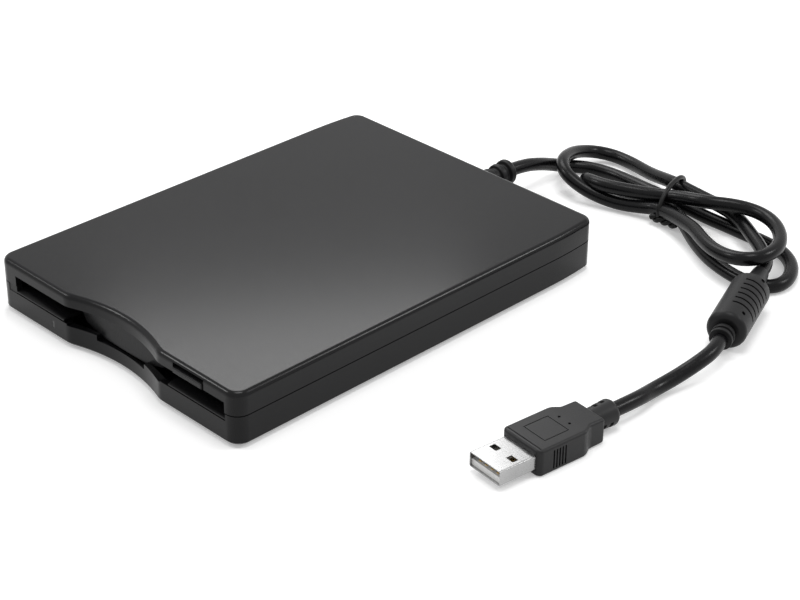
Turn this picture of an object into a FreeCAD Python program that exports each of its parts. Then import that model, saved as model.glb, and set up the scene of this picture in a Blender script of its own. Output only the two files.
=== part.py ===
import FreeCAD, Part
import math
import os

# External 3.5 inch floppy disk drive with a captive USB lead.
# Millimetres. X runs to the right seen from the front, Y to the back, Z up.
# The origin is the middle of the footprint, on the surface the feet stand on.

V = FreeCAD.Vector
X_AXIS = V(1, 0, 0)
Y_AXIS = V(0, 1, 0)
Z_AXIS = V(0, 0, 1)

# ---------------------------------------------------------------- case shells
case_width = 104.0
case_depth = 140.8
case_height = 16.1
foot_height = 0.8
wall = 2.0
roof = 1.2
floor = 1.6
lower_shell_height = 9.0
front_corner_r = 4.3
back_corner_r = 3.9
side_taper = 1.3
side_taper_length = 19.0
top_round = 1.6
bottom_edge = 0.8
seam_groove_height = 0.3
seam_groove_depth = 0.45
button_proud = 0.5
touch = 0.05
case_side_gap = 0.35

# ------------------------------------------------------- finger scoop and slot
scoop_half_width = 20.0
scoop_depth_low = 3.4
scoop_depth_top = 4.3
scoop_wall = 1.2
scoop_shoulder_r = 7.0
slot_side_play = 0.15
slot_centre_x = 1.65
slot_below_top = 3.7
slot_height = 5.7
lip_rise = 1.3
lip_run = 1.4
lip_face_gap = 0.12
lip_side_gap = 0.1
lip_above_rim = 0.3
lip_edge_height = 0.35
lip_left_of_scoop = 1.8
lip_right_of_scoop = 4.0
lip_shelf_depth = 8.6
pillar_width = 3.4
rim_gap_right = 0.2
scoop_rim_drop = 0.5
tongue_notch_half = 10.4
tongue_notch_drop = 2.1
bezel_bar_depth = 2.1
bezel_bar_height = 1.8
bezel_bar_setback = 6.5
bezel_post_width = 5.0

# ------------------------------------------------------------------ dust flap
flap_face_depth = 4.3
flap_thickness = 0.9
flap_bottom_half = 10.5
flap_waist_half = 16.8
flap_top_half = 19.2
flap_corner = 1.6
flap_rim_edge = 0.35
flap_shoulder_drop = 0.6
flap_waist_share = 0.35
flap_top_gap = 0.2
flap_bottom_gap = 0.4
flap_pin_depth = 6.5
flap_pin_below_roof = 1.0
flap_pin_r = 0.5
flap_pin_play = 0.06
flap_arm_x = 14.6
flap_arm_thickness = 1.2
flap_eye_r = 0.85
ear_gap = 0.3
ear_thickness = 1.4
ear_width = 2.2
flap_spring_wire = 0.22
flap_spring_mean_r = 0.72
flap_spring_pitch = 0.8
flap_spring_turns = 3

# --------------------------------------------------------------- eject button
button_width = 11.8
button_height = 1.7
button_from_slot_end = 14.4
button_above_slot = 0.0
button_body_depth = 3.2
button_stem_depth = 3.4
button_stem_inset = 1.4
button_stem_step = 0.25
button_edge_r = 0.4
button_gap = 0.3
button_top_gap = 1.15
button_travel = 4.0
button_pocket_back = 9.0

# ------------------------------------------------------- ribs in the shells
rib_width = 1.2
rib_from_wall = 1.0
side_rib_from_ends = 22.0
side_rib_depth = 0.7
back_rib_reach = 32.0
back_rib_depth = 3.0
rib_behind_chassis = 1.2
floor_rib_height = 0.6
floor_rib_end_gap = 3.0
floor_rib_before_chassis = 5.4
floor_rib_behind_chassis = 1.0

# ---------------------------------------------------------------- light pipe
light_pipe_from_slot_end = 17.0
light_pipe_width = 1.0
light_pipe_height = 2.2
light_pipe_centre = 3.9
light_pipe_play = 0.15
led_width = 2.4
led_length = 2.2
led_height = 2.4
led_gap = 0.3
led_setback = 0.6

# -------------------------------------------------------------- feet, screws
foot_r = 4.2
foot_seat = 0.4
foot_from_side = 10.0
foot_from_front = 16.15
foot_from_back = 16.65
screw_from_side = 8.0
screw_from_back = 7.65
screw_r = 1.3
screw_head_r = 2.4
screw_head_height = 1.3
screw_post_r = 2.9
screw_length = 7.5
screw_slot = 0.5
screw_recess = 1.2
post_below_seam = 3.0
sleeve_wall = 0.9
chassis_screw_from_wall = 15.2
chassis_screw_front = 5.0
chassis_screw_back = 30.0
chassis_screw_r = 0.85
chassis_screw_head_r = 2.1
chassis_screw_head_height = 0.9
chassis_boss_r = 3.0
screw_hole_play = 0.2
screw_clearance = 0.05
chassis_screw_play = 0.35

# ------------------------------------------------- mechanism: lateral stack-up
disk_side_play = 0.4
sheet = 0.6
chassis_sheet = 0.8
tail_step = 16.0
slide_play = 0.3
lip_under_disk = 2.0

# ------------------------------------------------ mechanism: vertical stack-up
chassis_lift = 0.8
disk_lift_play = 0.1
carrier_roof_play = 0.2
carrier_top_to_slider = 0.3
carrier_drop = 2.2
chassis_wall_drop = 0.4
pin_below_slot_top = 2.2

# ---------------------------- mechanism: places behind the front face, in front
# ---------------------------- of the back face and before the chassis's back end
spindle_behind_front = 54.15
chassis_behind_front = 18.15
carrier_behind_front = 12.15
carrier_relief_depth = 4.8
carrier_relief_half = 21.0
slider_behind_front = 14.15
slider_wall_behind_front = 22.15
slider_bar_width = 8.0
slider_rail_width = 6.0
slider_rear_bar_behind_front = 56.15
front_pin_behind_front = 30.15
spring_behind_front = 37.15
chassis_before_back = 13.25
deck_before_chassis_back = 24.0
carrier_before_chassis_back = 24.4
slider_wall_before_chassis_back = 35.4
back_pin_before_chassis_back = 43.4
pin_r = 0.8
pin_play = 0.1
pin_slot_end = 0.3

# ------------------------------------------- openings in the carrier and deck
head_window_half = 7.0
carrier_hub_window_r = 10.0
carrier_window_margin = 10.0
carrier_window_width = 18.0
carrier_window_length = 22.0
deck_window_margin = 7.2
deck_window_width = 12.0
deck_window_length = 26.0
deck_window_before_spindle = 14.0
deck_beam_window_half = 6.0
deck_beam_window_length = 19.0

# -------------------------------------------------------------- spindle motor
rotor_r = 20.5
rotor_sheet = 0.6
rotor_rim_depth = 1.2
magnet_thickness = 0.7
rotor_top = 6.9
hub_r = 12.4
hub_height = 1.0
spindle_boss_r = 2.0
spindle_boss_height = 0.7
shaft_r = 1.5
shaft_play = 0.05
bearing_r = 3.2
drive_pin_r = 1.3
drive_pin_radius = 8.6
drive_pin_height = 0.6
motor_board_thickness = 0.8
motor_board_r = 24.5
motor_board_tab = 16.5
motor_board_back = 20.4
stator_gap = 0.3
stator_core_r = 8.6
stator_core_width = 3.0
stator_teeth = 12
stator_height = 1.1
tooth_width = 1.5
coil_width = 2.8
coil_length = 5.2

# ------------------------------------------------------- head carriage, drive
track_outer_r = 39.5
track_inner_r = 24.7
head_r = 2.2
head_beam_half = 4.6
head_beam_thickness = 1.0
head_beam_bottom = 5.2
lower_head_top = 8.1
carriage_length = 9.6
carriage_gap = 0.6
carriage_top = 9.6
carriage_left = 11.5
rod_r = 1.25
rod_x = -9.0
rod_z = 7.4
screw_rod_x = 13.0
screw_rod_z = 8.3
screw_rod_r = 1.5
rod_play = 0.06
ear_plate = 0.8
rod_ear_half = 2.6
arm_half = 3.8
arm_thickness = 0.8
arm_hinge_setback = 1.6
arm_pin_r = 0.8
arm_post_thickness = 1.6
arm_post_half = 6.4
arm_eye_r = 1.4
upper_head_height = 0.4
arm_clear_bay = 0.45
stepper_r = 4.3
stepper_length = 8.6
stepper_gap = 0.2

# ------------------------------------------------------------- shutter lever
lever_pivot_from_middle = 34.65
lever_before_chassis_back = 31.4
lever_reach = 22.0
lever_rest_angle = -25.0
lever_swing = 37.0
lever_width = 4.0
lever_sheet = 0.6
lever_pivot_r = 1.5
lever_play = 0.06
lever_tip_r = 1.0
lever_tip_drop = 3.6
lever_slot_play = 0.35
lever_gap = 0.3
clip_r = 2.6
clip_height = 0.4

# ------------------------------------------------------------------- boards
board_thickness = 1.0
board_lift = 1.4
control_board_side_gap = 4.0
control_board_rod_gap = 1.85
control_board_depth = 21.4
control_board_setback = 1.0
board_stud_inset = 4.0
board_stud_r = 1.6
bridge_board_sleeve_gap = 2.2
bridge_board_past_boot = 6.6
bridge_board_behind_chassis = 1.8
bridge_board_wall_gap = 1.45
bridge_board_lift = 1.6
chip_edge_gap = 2.2
chip_edge = 0.2
chip_height = 1.4
controller_size = 12.0
driver_size = 7.0
memory_width = 3.2
memory_length = 5.4
resonator_width = 2.6
resonator_length = 5.0
crystal_r = 1.8
bridge_chip_depth = 6.4
ribbon_width = 13.0
ribbon_from_board_end = 2.0
ribbon_thickness = 0.2

# ----------------------------------------------------------- disk switches
switch_width = 5.2
switch_depth = 3.6
switch_height = 2.6
switch_plunger_r = 0.7
switch_plunger_rise = 0.9
switch_behind_chassis_front = 2.5
switch_from_wall = 7.4
switch_spacing = 15.8

# ------------------------------------------------------------ eject springs
eject_spring_inset = 6.9
eject_spring_z = 5.6
eject_spring_r = 0.85
eject_spring_wire = 0.35
eject_spring_turns = 4
eject_spring_length = 15.0
spring_end_gap = 0.5
spring_tab = 2.4
spring_tab_rise = 1.2
spring_tab_plate = 0.6
slider_above_deck = 0.4
slider_relief_from_pin = 13.0
slider_relief_bottom = 3.0
slider_relief_top = 3.4
slider_arm_inset = 1.0

# --------------------------------------------------------- lead, boot, plug
cord_d = 4.3
boot_x = 3.0
boot_length = 14.8
boot_base_r = 3.5
boot_end_r = 4.1
boot_neck_r = 3.0
boot_flange_r = 4.2
boot_flange_thickness = 1.2
boot_play = 0.1
boot_groove_width = 1.7
boot_groove_depth = 0.8
boot_groove_pitch = 3.5
boot_groove_from_end = 3.0

cord_pocket_play = 0.3
hank_left_height = 11.1
hank_right_height = 13.1
hank_waist_top = 9.9
tie_x = 45.8
tie_front_y = 105.4
tie_back_y = 122.4
tie_wire = 1.2
tie_knot_r = 1.6
tie_knot_length = 7.0

ferrite_back = (93.7, 93.8, 6.5)
ferrite_front = (109.8, 56.6, 6.3)
ferrite_r = 5.9
ferrite_round = 1.0
ferrite_collar_r = 3.6
ferrite_collar_length = 4.2
ferrite_back_collar_length = 7.0

plug_mouth = (105.3, -33.75)
plug_turn = -6.4
plug_shell_width = 12.0
plug_shell_height = 4.5
plug_shell_out = 11.75
plug_shell_in = 6.0
plug_shell_wall = 0.3
plug_shell_round = 0.6
plug_window_wide = 2.7
plug_window_long = 1.9
plug_window_x = 3.25
plug_window_y = 6.2
plug_insert_height = 1.84
plug_insert_setback = 0.6
plug_contact_width = 1.0
plug_contact_pitch = 2.3
plug_contact_length = 8.0
plug_contact_height = 0.25
grip_width = 15.0
grip_height = 8.0
grip_length = 15.8
grip_round = 1.6
grip_rib_count = 5
grip_rib_pitch = 1.05
grip_rib_width = 0.5
grip_rib_depth = 0.45
grip_rib_start = 3.6
grip_panel = 8.2
grip_panel_depth = 0.2
neck_width = 10.4
neck_height = 6.4
neck_length = 6.2
neck_step = 1.4
relief_length = 8.6
relief_overlap = 0.5
relief_r = 3.35
relief_groove_width = 1.1
relief_groove_depth = 0.8
relief_groove_pitch = 2.5

# ------------------------------------------------------------ derived places
base_z = foot_height
front_y = -(case_depth + button_proud) / 2 + button_proud
back_y = front_y + case_depth
seam_z = base_z + lower_shell_height
top_z = base_z + case_height
floor_z = base_z + floor
ceiling_z = top_z - roof
inner_x = case_width / 2 - wall
slot_top_z = top_z - slot_below_top
rim_z = slot_top_z - slot_height
shelf_z = rim_z + lip_rise
mid_x = slot_centre_x
screw_x = case_width / 2 - screw_from_side
screw_y = back_y - screw_from_back

# From the case's side wall inwards: chassis, eject slider, disk carrier, disk.
chassis_out = inner_x - case_side_gap - mid_x
chassis_in = chassis_out - chassis_sheet
slider_out = chassis_in - slide_play
slider_in = slider_out - sheet
carrier_out = slider_in - slide_play
carrier_in = carrier_out - sheet
disk_width = 2 * (carrier_in - disk_side_play)

slot_left = mid_x - carrier_in - slot_side_play
slot_right = mid_x + carrier_in + slot_side_play
pillar_left = slot_left - pillar_width
rim_right = slot_right + rim_gap_right
lip_left_end_x = -scoop_half_width - lip_left_of_scoop
lip_right_start_x = scoop_half_width + lip_right_of_scoop
button_centre_x = slot_right - button_from_slot_end
light_pipe_x = slot_left + light_pipe_from_slot_end
scoop_rim_z = rim_z - scoop_rim_drop
notch_z = rim_z - tongue_notch_drop

spindle_y = front_y + spindle_behind_front
chassis_front_y = front_y + chassis_behind_front
carrier_front_y = front_y + carrier_behind_front
carrier_relief_y = carrier_front_y + carrier_relief_depth
slider_front_y = front_y + slider_behind_front
slider_wall_front_y = front_y + slider_wall_behind_front
slider_rear_bar_y = front_y + slider_rear_bar_behind_front
pin_front_y = front_y + front_pin_behind_front
eject_spring_front_y = front_y + spring_behind_front
chassis_back_y = back_y - chassis_before_back
deck_back_y = chassis_back_y - deck_before_chassis_back
carrier_back_y = chassis_back_y - carrier_before_chassis_back
slider_wall_back_y = chassis_back_y - slider_wall_before_chassis_back
pin_back_y = chassis_back_y - back_pin_before_chassis_back
lever_pivot_x = mid_x - lever_pivot_from_middle
lever_pivot_y = chassis_back_y - lever_before_chassis_back
chassis_z = floor_z + chassis_lift
deck_z = chassis_z + chassis_sheet
carrier_lip_top = shelf_z
carrier_plate_z = slot_top_z + carrier_roof_play
carrier_top_z = carrier_plate_z + sheet
slider_top_z = carrier_top_z + carrier_top_to_slider + sheet
chassis_wall_top = carrier_plate_z - chassis_wall_drop
pin_height = slot_top_z - pin_below_slot_top
eject_spring_x = slider_in - eject_spring_inset
boot_z = seam_z

flap_pin_y = front_y + flap_pin_depth
flap_pin_z = ceiling_z - flap_pin_below_roof
head_rest_y = spindle_y + track_outer_r
head_travel = track_outer_r - track_inner_r
carriage_back_y = chassis_back_y - ear_plate - carriage_gap
carriage_front_y = carriage_back_y - carriage_length
ear_front_y = carriage_front_y - head_travel - carriage_gap - ear_plate
arm_bottom_z = slot_top_z + arm_clear_bay - disk_lift_play
arm_hinge_y = carriage_front_y + arm_hinge_setback
arm_hinge_z = arm_bottom_z + arm_thickness / 2
lever_z = carrier_top_z + lever_gap
button_z = slot_top_z + button_above_slot
control_board_left = -inner_x + control_board_side_gap
control_board_right = mid_x + rod_x - rod_ear_half - control_board_rod_gap
control_board_back = chassis_back_y - control_board_setback
control_board_front = control_board_back - control_board_depth
bridge_board_right = boot_x + bridge_board_past_boot
bridge_board_left = -screw_x + screw_post_r + sleeve_wall + bridge_board_sleeve_gap
bridge_board_front = chassis_back_y + bridge_board_behind_chassis
bridge_board_back = back_y - wall - bridge_board_wall_gap
bridge_board_bottom = floor_z + bridge_board_lift


# ------------------------------------------------------------ shape helpers
def box(x0, x1, y0, y1, z0, z1):
    return Part.makeBox(x1 - x0, y1 - y0, z1 - z0, V(x0, y0, z0))


def cyl(x, y, z, r, length, axis=Z_AXIS):
    return Part.makeCylinder(r, length, V(x, y, z), axis)


def ring(x, y, z, r_in, r_out, length, axis=Z_AXIS):
    return cyl(x, y, z, r_out, length, axis).cut(cyl(x, y, z, r_in, length, axis))


def fuse(shapes):
    solid = shapes[0]
    if len(shapes) > 1:
        solid = solid.multiFuse(shapes[1:]).removeSplitter()
    return solid


def cut(shape, tools):
    return shape.cut(tools[0] if len(tools) == 1 else Part.makeCompound(tools))


def prism_yz(points, x0, x1):
    """A profile in the YZ plane drawn out along X."""
    wire = Part.makePolygon([V(x0, y, z) for y, z in points + points[:1]])
    return Part.Face(wire).extrude(V(x1 - x0, 0, 0))


def prism_xy(points, z0, z1):
    """A profile in the XY plane drawn up along Z."""
    wire = Part.makePolygon([V(x, y, z0) for x, y in points + points[:1]])
    return Part.Face(wire).extrude(V(0, 0, z1 - z0))


def slot_hole(start, end, r, x0, x1):
    """A round-ended slot from start to end (y, z), cut through along X."""
    dy, dz = end[0] - start[0], end[1] - start[1]
    run = math.hypot(dy, dz)
    ny, nz = -dz / run * r, dy / run * r
    body = prism_yz([(start[0] + ny, start[1] + nz), (end[0] + ny, end[1] + nz),
                     (end[0] - ny, end[1] - nz), (start[0] - ny, start[1] - nz)], x0, x1)
    ends = [cyl(x0, y, z, r, x1 - x0, X_AXIS) for y, z in (start, end)]
    return body.multiFuse(ends)


def coil(radius, wire_d, pitch, turns, origin, axis):
    """A helix of square wire that starts at origin and winds along axis."""
    helix = Part.makeHelix(pitch, pitch * turns, radius)
    h = wire_d / 2
    corners = [V(radius + a * h, 0, b * h) for a, b in ((-1, -1), (1, -1), (1, 1), (-1, 1), (-1, -1))]
    profile = Part.makePolygon(corners)
    spring = Part.Wire(helix.Edges).makePipeShell([profile], True, True)
    spring.Placement = FreeCAD.Placement(origin, FreeCAD.Rotation(Z_AXIS, axis))
    return spring


# ------------------------------------------------------------- case outlines
def case_face(z):
    """Plan of the case: square front corners, side walls drawn in at the back."""
    half = case_width / 2
    back_half = half - side_taper
    bend_y = back_y - side_taper_length
    bend_r = (side_taper_length ** 2 + side_taper ** 2) / (2 * side_taper)
    turn = math.asin(side_taper_length / bend_r) / 2
    mid_in = bend_r * (1 - math.cos(turn))
    mid_y = bend_y + bend_r * math.sin(turn)
    right = Part.Arc(V(half, bend_y, z), V(half - mid_in, mid_y, z), V(back_half, back_y, z))
    left = Part.Arc(V(-back_half, back_y, z), V(mid_in - half, mid_y, z), V(-half, bend_y, z))
    edges = [Part.makeLine(V(-half, bend_y, z), V(-half, front_y, z)),
             Part.makeLine(V(-half, front_y, z), V(half, front_y, z)),
             Part.makeLine(V(half, front_y, z), V(half, bend_y, z)),
             right.toShape(),
             Part.makeLine(V(back_half, back_y, z), V(-back_half, back_y, z)),
             left.toShape()]
    return Part.Face(Part.Wire(edges))


def upright_corners(block, y_sign, inset):
    half = case_width / 2 - inset
    y_edge = front_y + inset if y_sign < 0 else back_y - inset
    reach = side_taper + 1.0

    def is_corner(c):
        return abs(c.y - y_edge) < 0.01 and abs(abs(c.x) - half) < reach

    height = block.BoundBox.ZLength
    return [e for e in block.Edges if is_corner(e.CenterOfMass) and e.BoundBox.ZLength > height / 2]


def case_block(inset, z0, z1):
    face = case_face(z0)
    if inset:
        face = face.makeOffset2D(-inset)
        face = Part.Face(face.OuterWire) if face.Faces else Part.Face(face)
    block = face.extrude(V(0, 0, z1 - z0))
    block = block.makeFillet(front_corner_r - inset, upright_corners(block, -1, inset))
    return block.makeFillet(back_corner_r - inset, upright_corners(block, 1, inset))


def scoop_block(extra, widen):
    """The finger scoop: an upright cylinder face, a little deeper at the top."""
    wires = []
    for z, depth in ((base_z, scoop_depth_low), (top_z, scoop_depth_top)):
        half = scoop_half_width + widen
        rim_y = front_y + (wall if extra else 0)
        deep_y = front_y + depth + extra
        slope = (z - base_z) / case_height
        zz = z - 1 if slope < 0.5 else z + 1
        arc = Part.Arc(V(-half, rim_y, zz), V(0, deep_y, zz), V(half, rim_y, zz)).toShape()
        ahead = front_y - 5
        wires.append(Part.Wire([arc, Part.makeLine(V(half, rim_y, zz), V(half, ahead, zz)),
                                Part.makeLine(V(half, ahead, zz), V(-half, ahead, zz)),
                                Part.makeLine(V(-half, ahead, zz), V(-half, rim_y, zz))]))
    return Part.makeLoft(wires, True, True)


def case_outside():
    block = case_block(0, base_z, top_z).cut(scoop_block(0, 0))
    shoulders = [e for e in block.Edges
                 if abs(e.CenterOfMass.y - front_y) < 0.3
                 and abs(abs(e.CenterOfMass.x) - scoop_half_width) < 1.0
                 and e.BoundBox.ZLength > case_height / 2]
    block = block.makeFillet(scoop_shoulder_r, shoulders)
    top = [e for e in block.Edges if e.BoundBox.ZMin > top_z - 0.01]
    block = block.makeFillet(top_round, top)
    low = [e for e in block.Edges if e.BoundBox.ZMax < base_z + 0.01]
    return block.makeChamfer(bottom_edge, low)


def case_inside():
    return case_block(wall, floor_z, ceiling_z).cut(scoop_block(scoop_wall, 1.5))


def seam_groove():
    half = seam_groove_height / 2
    band = case_block(0, seam_z - half, seam_z + half)
    return band.cut(case_block(seam_groove_depth, seam_z - half, seam_z + half))


def cable_hole():
    return cyl(boot_x, back_y - wall - 1, boot_z, boot_neck_r + boot_play, wall + 2, Y_AXIS)


def foot_places():
    x = case_width / 2 - foot_from_side
    return [(s * x, y) for s in (-1, 1) for y in (front_y + foot_from_front, back_y - foot_from_back)]


def case_screw_places():
    return [(-screw_x, screw_y), (screw_x, screw_y)]


def chassis_screw_places():
    rows = (chassis_front_y + chassis_screw_front, chassis_back_y - chassis_screw_back)
    x = chassis_in - chassis_screw_from_wall
    return [(mid_x + s * x, y) for s in (-1, 1) for y in rows]


# ------------------------------------------------------------- case shells
def slot_window():
    """Everything of the front walls that the disk slot takes away."""
    low = box(pillar_left, rim_right, front_y - 1, front_y + wall + 6, rim_z, seam_z + touch)
    high = box(slot_left, slot_right, front_y - 1, front_y + wall + 6, seam_z - touch, slot_top_z)
    return low.fuse(high)


def button_bounds(gap):
    half = button_width / 2 + gap
    return button_centre_x - half, button_centre_x + half


def button_window():
    x0, x1 = button_bounds(button_gap)
    z1 = button_z + button_height + button_top_gap
    return box(x0, x1, front_y - 1, front_y + button_pocket_back, slot_top_z - 1, z1)


def flap_ear(x0):
    half = ear_width / 2
    plate = box(x0, x0 + ear_thickness, flap_pin_y - half, flap_pin_y + half,
                flap_pin_z - half, ceiling_z + touch)
    return plate.cut(cyl(x0 - 1, flap_pin_y, flap_pin_z, flap_pin_r, ear_thickness + 2, X_AXIS))


def flap_ears():
    gap = flap_arm_x + flap_arm_thickness / 2 + ear_gap
    return [flap_ear(gap), flap_ear(-gap - ear_thickness)]


def cover_posts():
    posts = []
    for x, y in case_screw_places():
        foot_z = seam_z - post_below_seam
        post = cyl(x, y, foot_z, screw_post_r, ceiling_z + touch - foot_z)
        posts.append(post.cut(cyl(x, y, foot_z - 1, screw_r, screw_length - 1)))
    return posts


def cover_ribs():
    """Stiffening ribs under the roof, along the side and behind the chassis."""
    x0 = -inner_x + rib_from_wall
    y0 = chassis_back_y + rib_behind_chassis
    top = ceiling_z + touch
    side_front = front_y + side_rib_from_ends
    side_back = back_y - side_rib_from_ends
    x1 = mid_x + screw_rod_x - stepper_r - rib_width
    return [box(x0, x0 + rib_width, side_front, side_back, ceiling_z - side_rib_depth, top),
            box(mid_x - back_rib_reach, x1, y0, y0 + rib_width, ceiling_z - back_rib_depth, top)]


def upper_cover():
    shell = case_outside().cut(case_inside())
    shell = shell.common(box(-case_width, case_width, -case_depth, case_depth, seam_z, top_z + 1))
    shell = cut(shell, [slot_window(), button_window(), seam_groove(), cable_hole()])
    return fuse([shell] + flap_ears() + cover_posts() + cover_ribs())


def chassis_boss(x, y):
    boss = cyl(x, y, floor_z - touch, chassis_boss_r, chassis_z - floor_z + touch)
    return boss.cut(cyl(x, y, floor_z, chassis_screw_r + screw_clearance, chassis_lift + 1))


def screw_sleeve(x, y):
    height = seam_z - post_below_seam - floor_z
    return cyl(x, y, floor_z - touch, screw_post_r + sleeve_wall, height + touch)


def screw_hole(x, y):
    shank = cyl(x, y, base_z - 1, screw_r + screw_hole_play, seam_z)
    head = cyl(x, y, base_z - 1, screw_head_r + screw_hole_play, 1 + screw_head_height + screw_recess)
    return shank.fuse(head)


def floor_ribs():
    """Ribs that run across the floor in front of and behind the chassis."""
    half = inner_x - floor_rib_end_gap
    top = floor_z + floor_rib_height
    y0 = chassis_front_y - floor_rib_before_chassis
    y1 = chassis_back_y + floor_rib_behind_chassis
    front = box(-half, half, y0, y0 + rib_width, floor_z - touch, top)
    back = box(-half, boot_x, y1, y1 + rib_width, floor_z - touch, top)
    return [front, back]


def bridge_board_posts():
    height = bridge_board_bottom - floor_z
    front = bridge_board_front + board_stud_r
    middle = (bridge_board_front + bridge_board_back) / 2
    places = [(bridge_board_left + 2 * board_stud_r, middle), (bridge_board_right - 2 * board_stud_r, front),
              ((bridge_board_left + bridge_board_right) / 2, front)]
    return [cyl(x, y, floor_z - touch, board_stud_r, height + touch) for x, y in places]


def led_window():
    half = light_pipe_width / 2 + touch
    z0 = base_z + light_pipe_centre - light_pipe_height / 2 - touch
    return box(light_pipe_x - half, light_pipe_x + half, front_y - 1, front_y + wall + 1,
               z0, z0 + light_pipe_height + 2 * touch)


def scoop_rim_cut():
    """The rim dips across the scoop and again under the flap's tongue."""
    half = scoop_half_width + 0.5
    dip = box(-half, half, front_y - 1, front_y + 8, scoop_rim_z, seam_z + 1)
    notch = box(-tongue_notch_half, tongue_notch_half, front_y - 1, front_y + 8, notch_z, seam_z)
    return dip.fuse(notch)


def lower_case():
    shell = case_outside().cut(case_inside())
    shell = shell.common(box(-case_width, case_width, -case_depth, case_depth, 0, seam_z))
    feet = [cyl(x, y, base_z - 1, foot_r + touch, 1 + foot_seat) for x, y in foot_places()]
    holes = [screw_hole(x, y) for x, y in case_screw_places()]
    adds = [chassis_boss(x, y) for x, y in chassis_screw_places()]
    adds += [screw_sleeve(x, y) for x, y in case_screw_places()]
    adds += floor_ribs() + bridge_board_posts()
    shell = fuse([shell] + adds)
    trims = [slot_window(), scoop_rim_cut(), led_window(), seam_groove(), cable_hole()]
    return cut(shell, trims + feet + holes)


def case_feet():
    pads = []
    for x, y in foot_places():
        pad = cyl(x, y, 0, foot_r, foot_height + foot_seat)
        low = [e for e in pad.Edges if e.BoundBox.ZMax < 0.01]
        pads.append(pad.makeChamfer(0.4, low))
    return Part.makeCompound(pads)


def machine_screw(x, y, z, head_r, head_h, shank_r, length, up=True):
    """Slotted screw; its shank points up or down from z, and the upturned kind has a pan head."""
    head = cyl(x, y, z if not up else z - head_h, head_r, head_h)
    outer_z = z - head_h if up else z + head_h
    if up:
        rim = [e for e in head.Edges if abs(e.CenterOfMass.z - outer_z) < 0.01 and len(e.Vertexes) == 1]
        head = head.makeChamfer(head_h * 0.4, rim)
    shank = cyl(x, y, z if up else z - length, shank_r, length)
    depth = head_h / 2
    z0 = outer_z - 0.1 if up else outer_z - depth
    arm = head_r * 0.6
    b = screw_slot / 2
    head = head.cut(box(x - arm, x + arm, y - b, y + b, z0, z0 + depth + 0.1))
    return head.fuse(shank)


def case_screws():
    seat = base_z + screw_head_height + screw_recess
    return Part.makeCompound([machine_screw(x, y, seat, screw_head_r, screw_head_height,
                                            screw_r, screw_length)
                              for x, y in case_screw_places()])


# ------------------------------------------------------------- slot bezel
def lip(x0, x1):
    z0 = rim_z + lip_above_rim
    face_y, back_y_of_lip = front_y + lip_face_gap, front_y + lip_shelf_depth
    profile = [(face_y, z0), (face_y, z0 + lip_edge_height), (front_y + lip_run, shelf_z),
               (back_y_of_lip, shelf_z), (back_y_of_lip, z0)]
    return prism_yz(profile, x0, x1)


def slot_bezel():
    """Lead-in lips either side of the scoop, on posts joined by a bar on the floor."""
    y0 = front_y + bezel_bar_setback
    y1 = y0 + bezel_bar_depth
    x0, x1 = slot_left, slot_right
    left = lip(x0, lip_left_end_x)
    right = lip(lip_right_start_x, x1)
    pillar = box(pillar_left + lip_side_gap, x0 + touch, front_y + lip_face_gap, front_y + wall, rim_z, seam_z)
    bar = box(x0, x1, y0, y1, floor_z, floor_z + bezel_bar_height)
    posts = [box(x, x + bezel_post_width, y0, y1, floor_z, shelf_z - touch)
             for x in (x0, lip_left_end_x - bezel_post_width, lip_right_start_x, x1 - bezel_post_width)]
    body = fuse([left, right, pillar, bar] + posts)
    half = light_pipe_width / 2 + light_pipe_play
    pipe_top = base_z + light_pipe_centre + light_pipe_height / 2 + light_pipe_play
    return body.cut(box(light_pipe_x - half, light_pipe_x + half, front_y, y1 + 1, floor_z - 1, pipe_top))


# ----------------------------------------------------------------- flap
def flap_leaf():
    """A tongue with drawn-in sides that fills the slot across the scoop."""
    z0 = notch_z + flap_bottom_gap
    z1 = slot_top_z - flap_top_gap
    y = front_y + flap_face_depth
    low, high, corner = flap_bottom_half, flap_top_half, flap_corner
    shoulder_z = z1 - flap_shoulder_drop
    waist_z = z0 + (z1 - z0) * flap_waist_share - flap_shoulder_drop
    waist = flap_waist_half

    def side(s):
        shoulder, hip, foot = V(s * high, y, shoulder_z), V(s * waist, y, waist_z), V(s * (low - corner), y, z0)
        bell = V(s * (waist + corner), y, (waist_z + shoulder_z) / 2)
        toe = V(s * (low + corner), y, (waist_z + z0 - flap_shoulder_drop) / 2)
        return [Part.makeLine(V(s * high, y, z1), shoulder), Part.Arc(shoulder, bell, hip).toShape(),
                Part.Arc(hip, toe, foot).toShape()]

    edges = [Part.makeLine(V(-high, y, z1), V(high, y, z1))] + side(1)
    edges.append(Part.makeLine(V(low - corner, y, z0), V(corner - low, y, z0)))
    edges += side(-1)
    wire = Part.Wire(Part.__sortEdges__(edges))
    leaf = Part.Face(wire).extrude(V(0, flap_thickness, 0))
    rim = [e for e in leaf.Edges if e.BoundBox.YMax < y + 0.01 and e.CenterOfMass.z < z1 - 0.1]
    return leaf.makeChamfer(flap_rim_edge, rim)


def flap_arm(x):
    x0 = x - flap_arm_thickness / 2
    x1 = x0 + flap_arm_thickness
    back = front_y + flap_face_depth + flap_thickness
    z_top = slot_top_z - flap_top_gap
    web = prism_yz([(back - 0.4, z_top - 2.4), (back - 0.4, z_top), (flap_pin_y - 0.6, flap_pin_z + 0.3),
                    (flap_pin_y + 0.6, flap_pin_z - 0.3)], x0, x1)
    arm = web.fuse(cyl(x0, flap_pin_y, flap_pin_z, flap_eye_r, flap_arm_thickness, X_AXIS))
    return arm.cut(cyl(x0 - 1, flap_pin_y, flap_pin_z, flap_pin_r + flap_pin_play,
                       flap_arm_thickness + 2, X_AXIS))


def slot_flap():
    return fuse([flap_leaf(), flap_arm(flap_arm_x), flap_arm(-flap_arm_x)])


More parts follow.
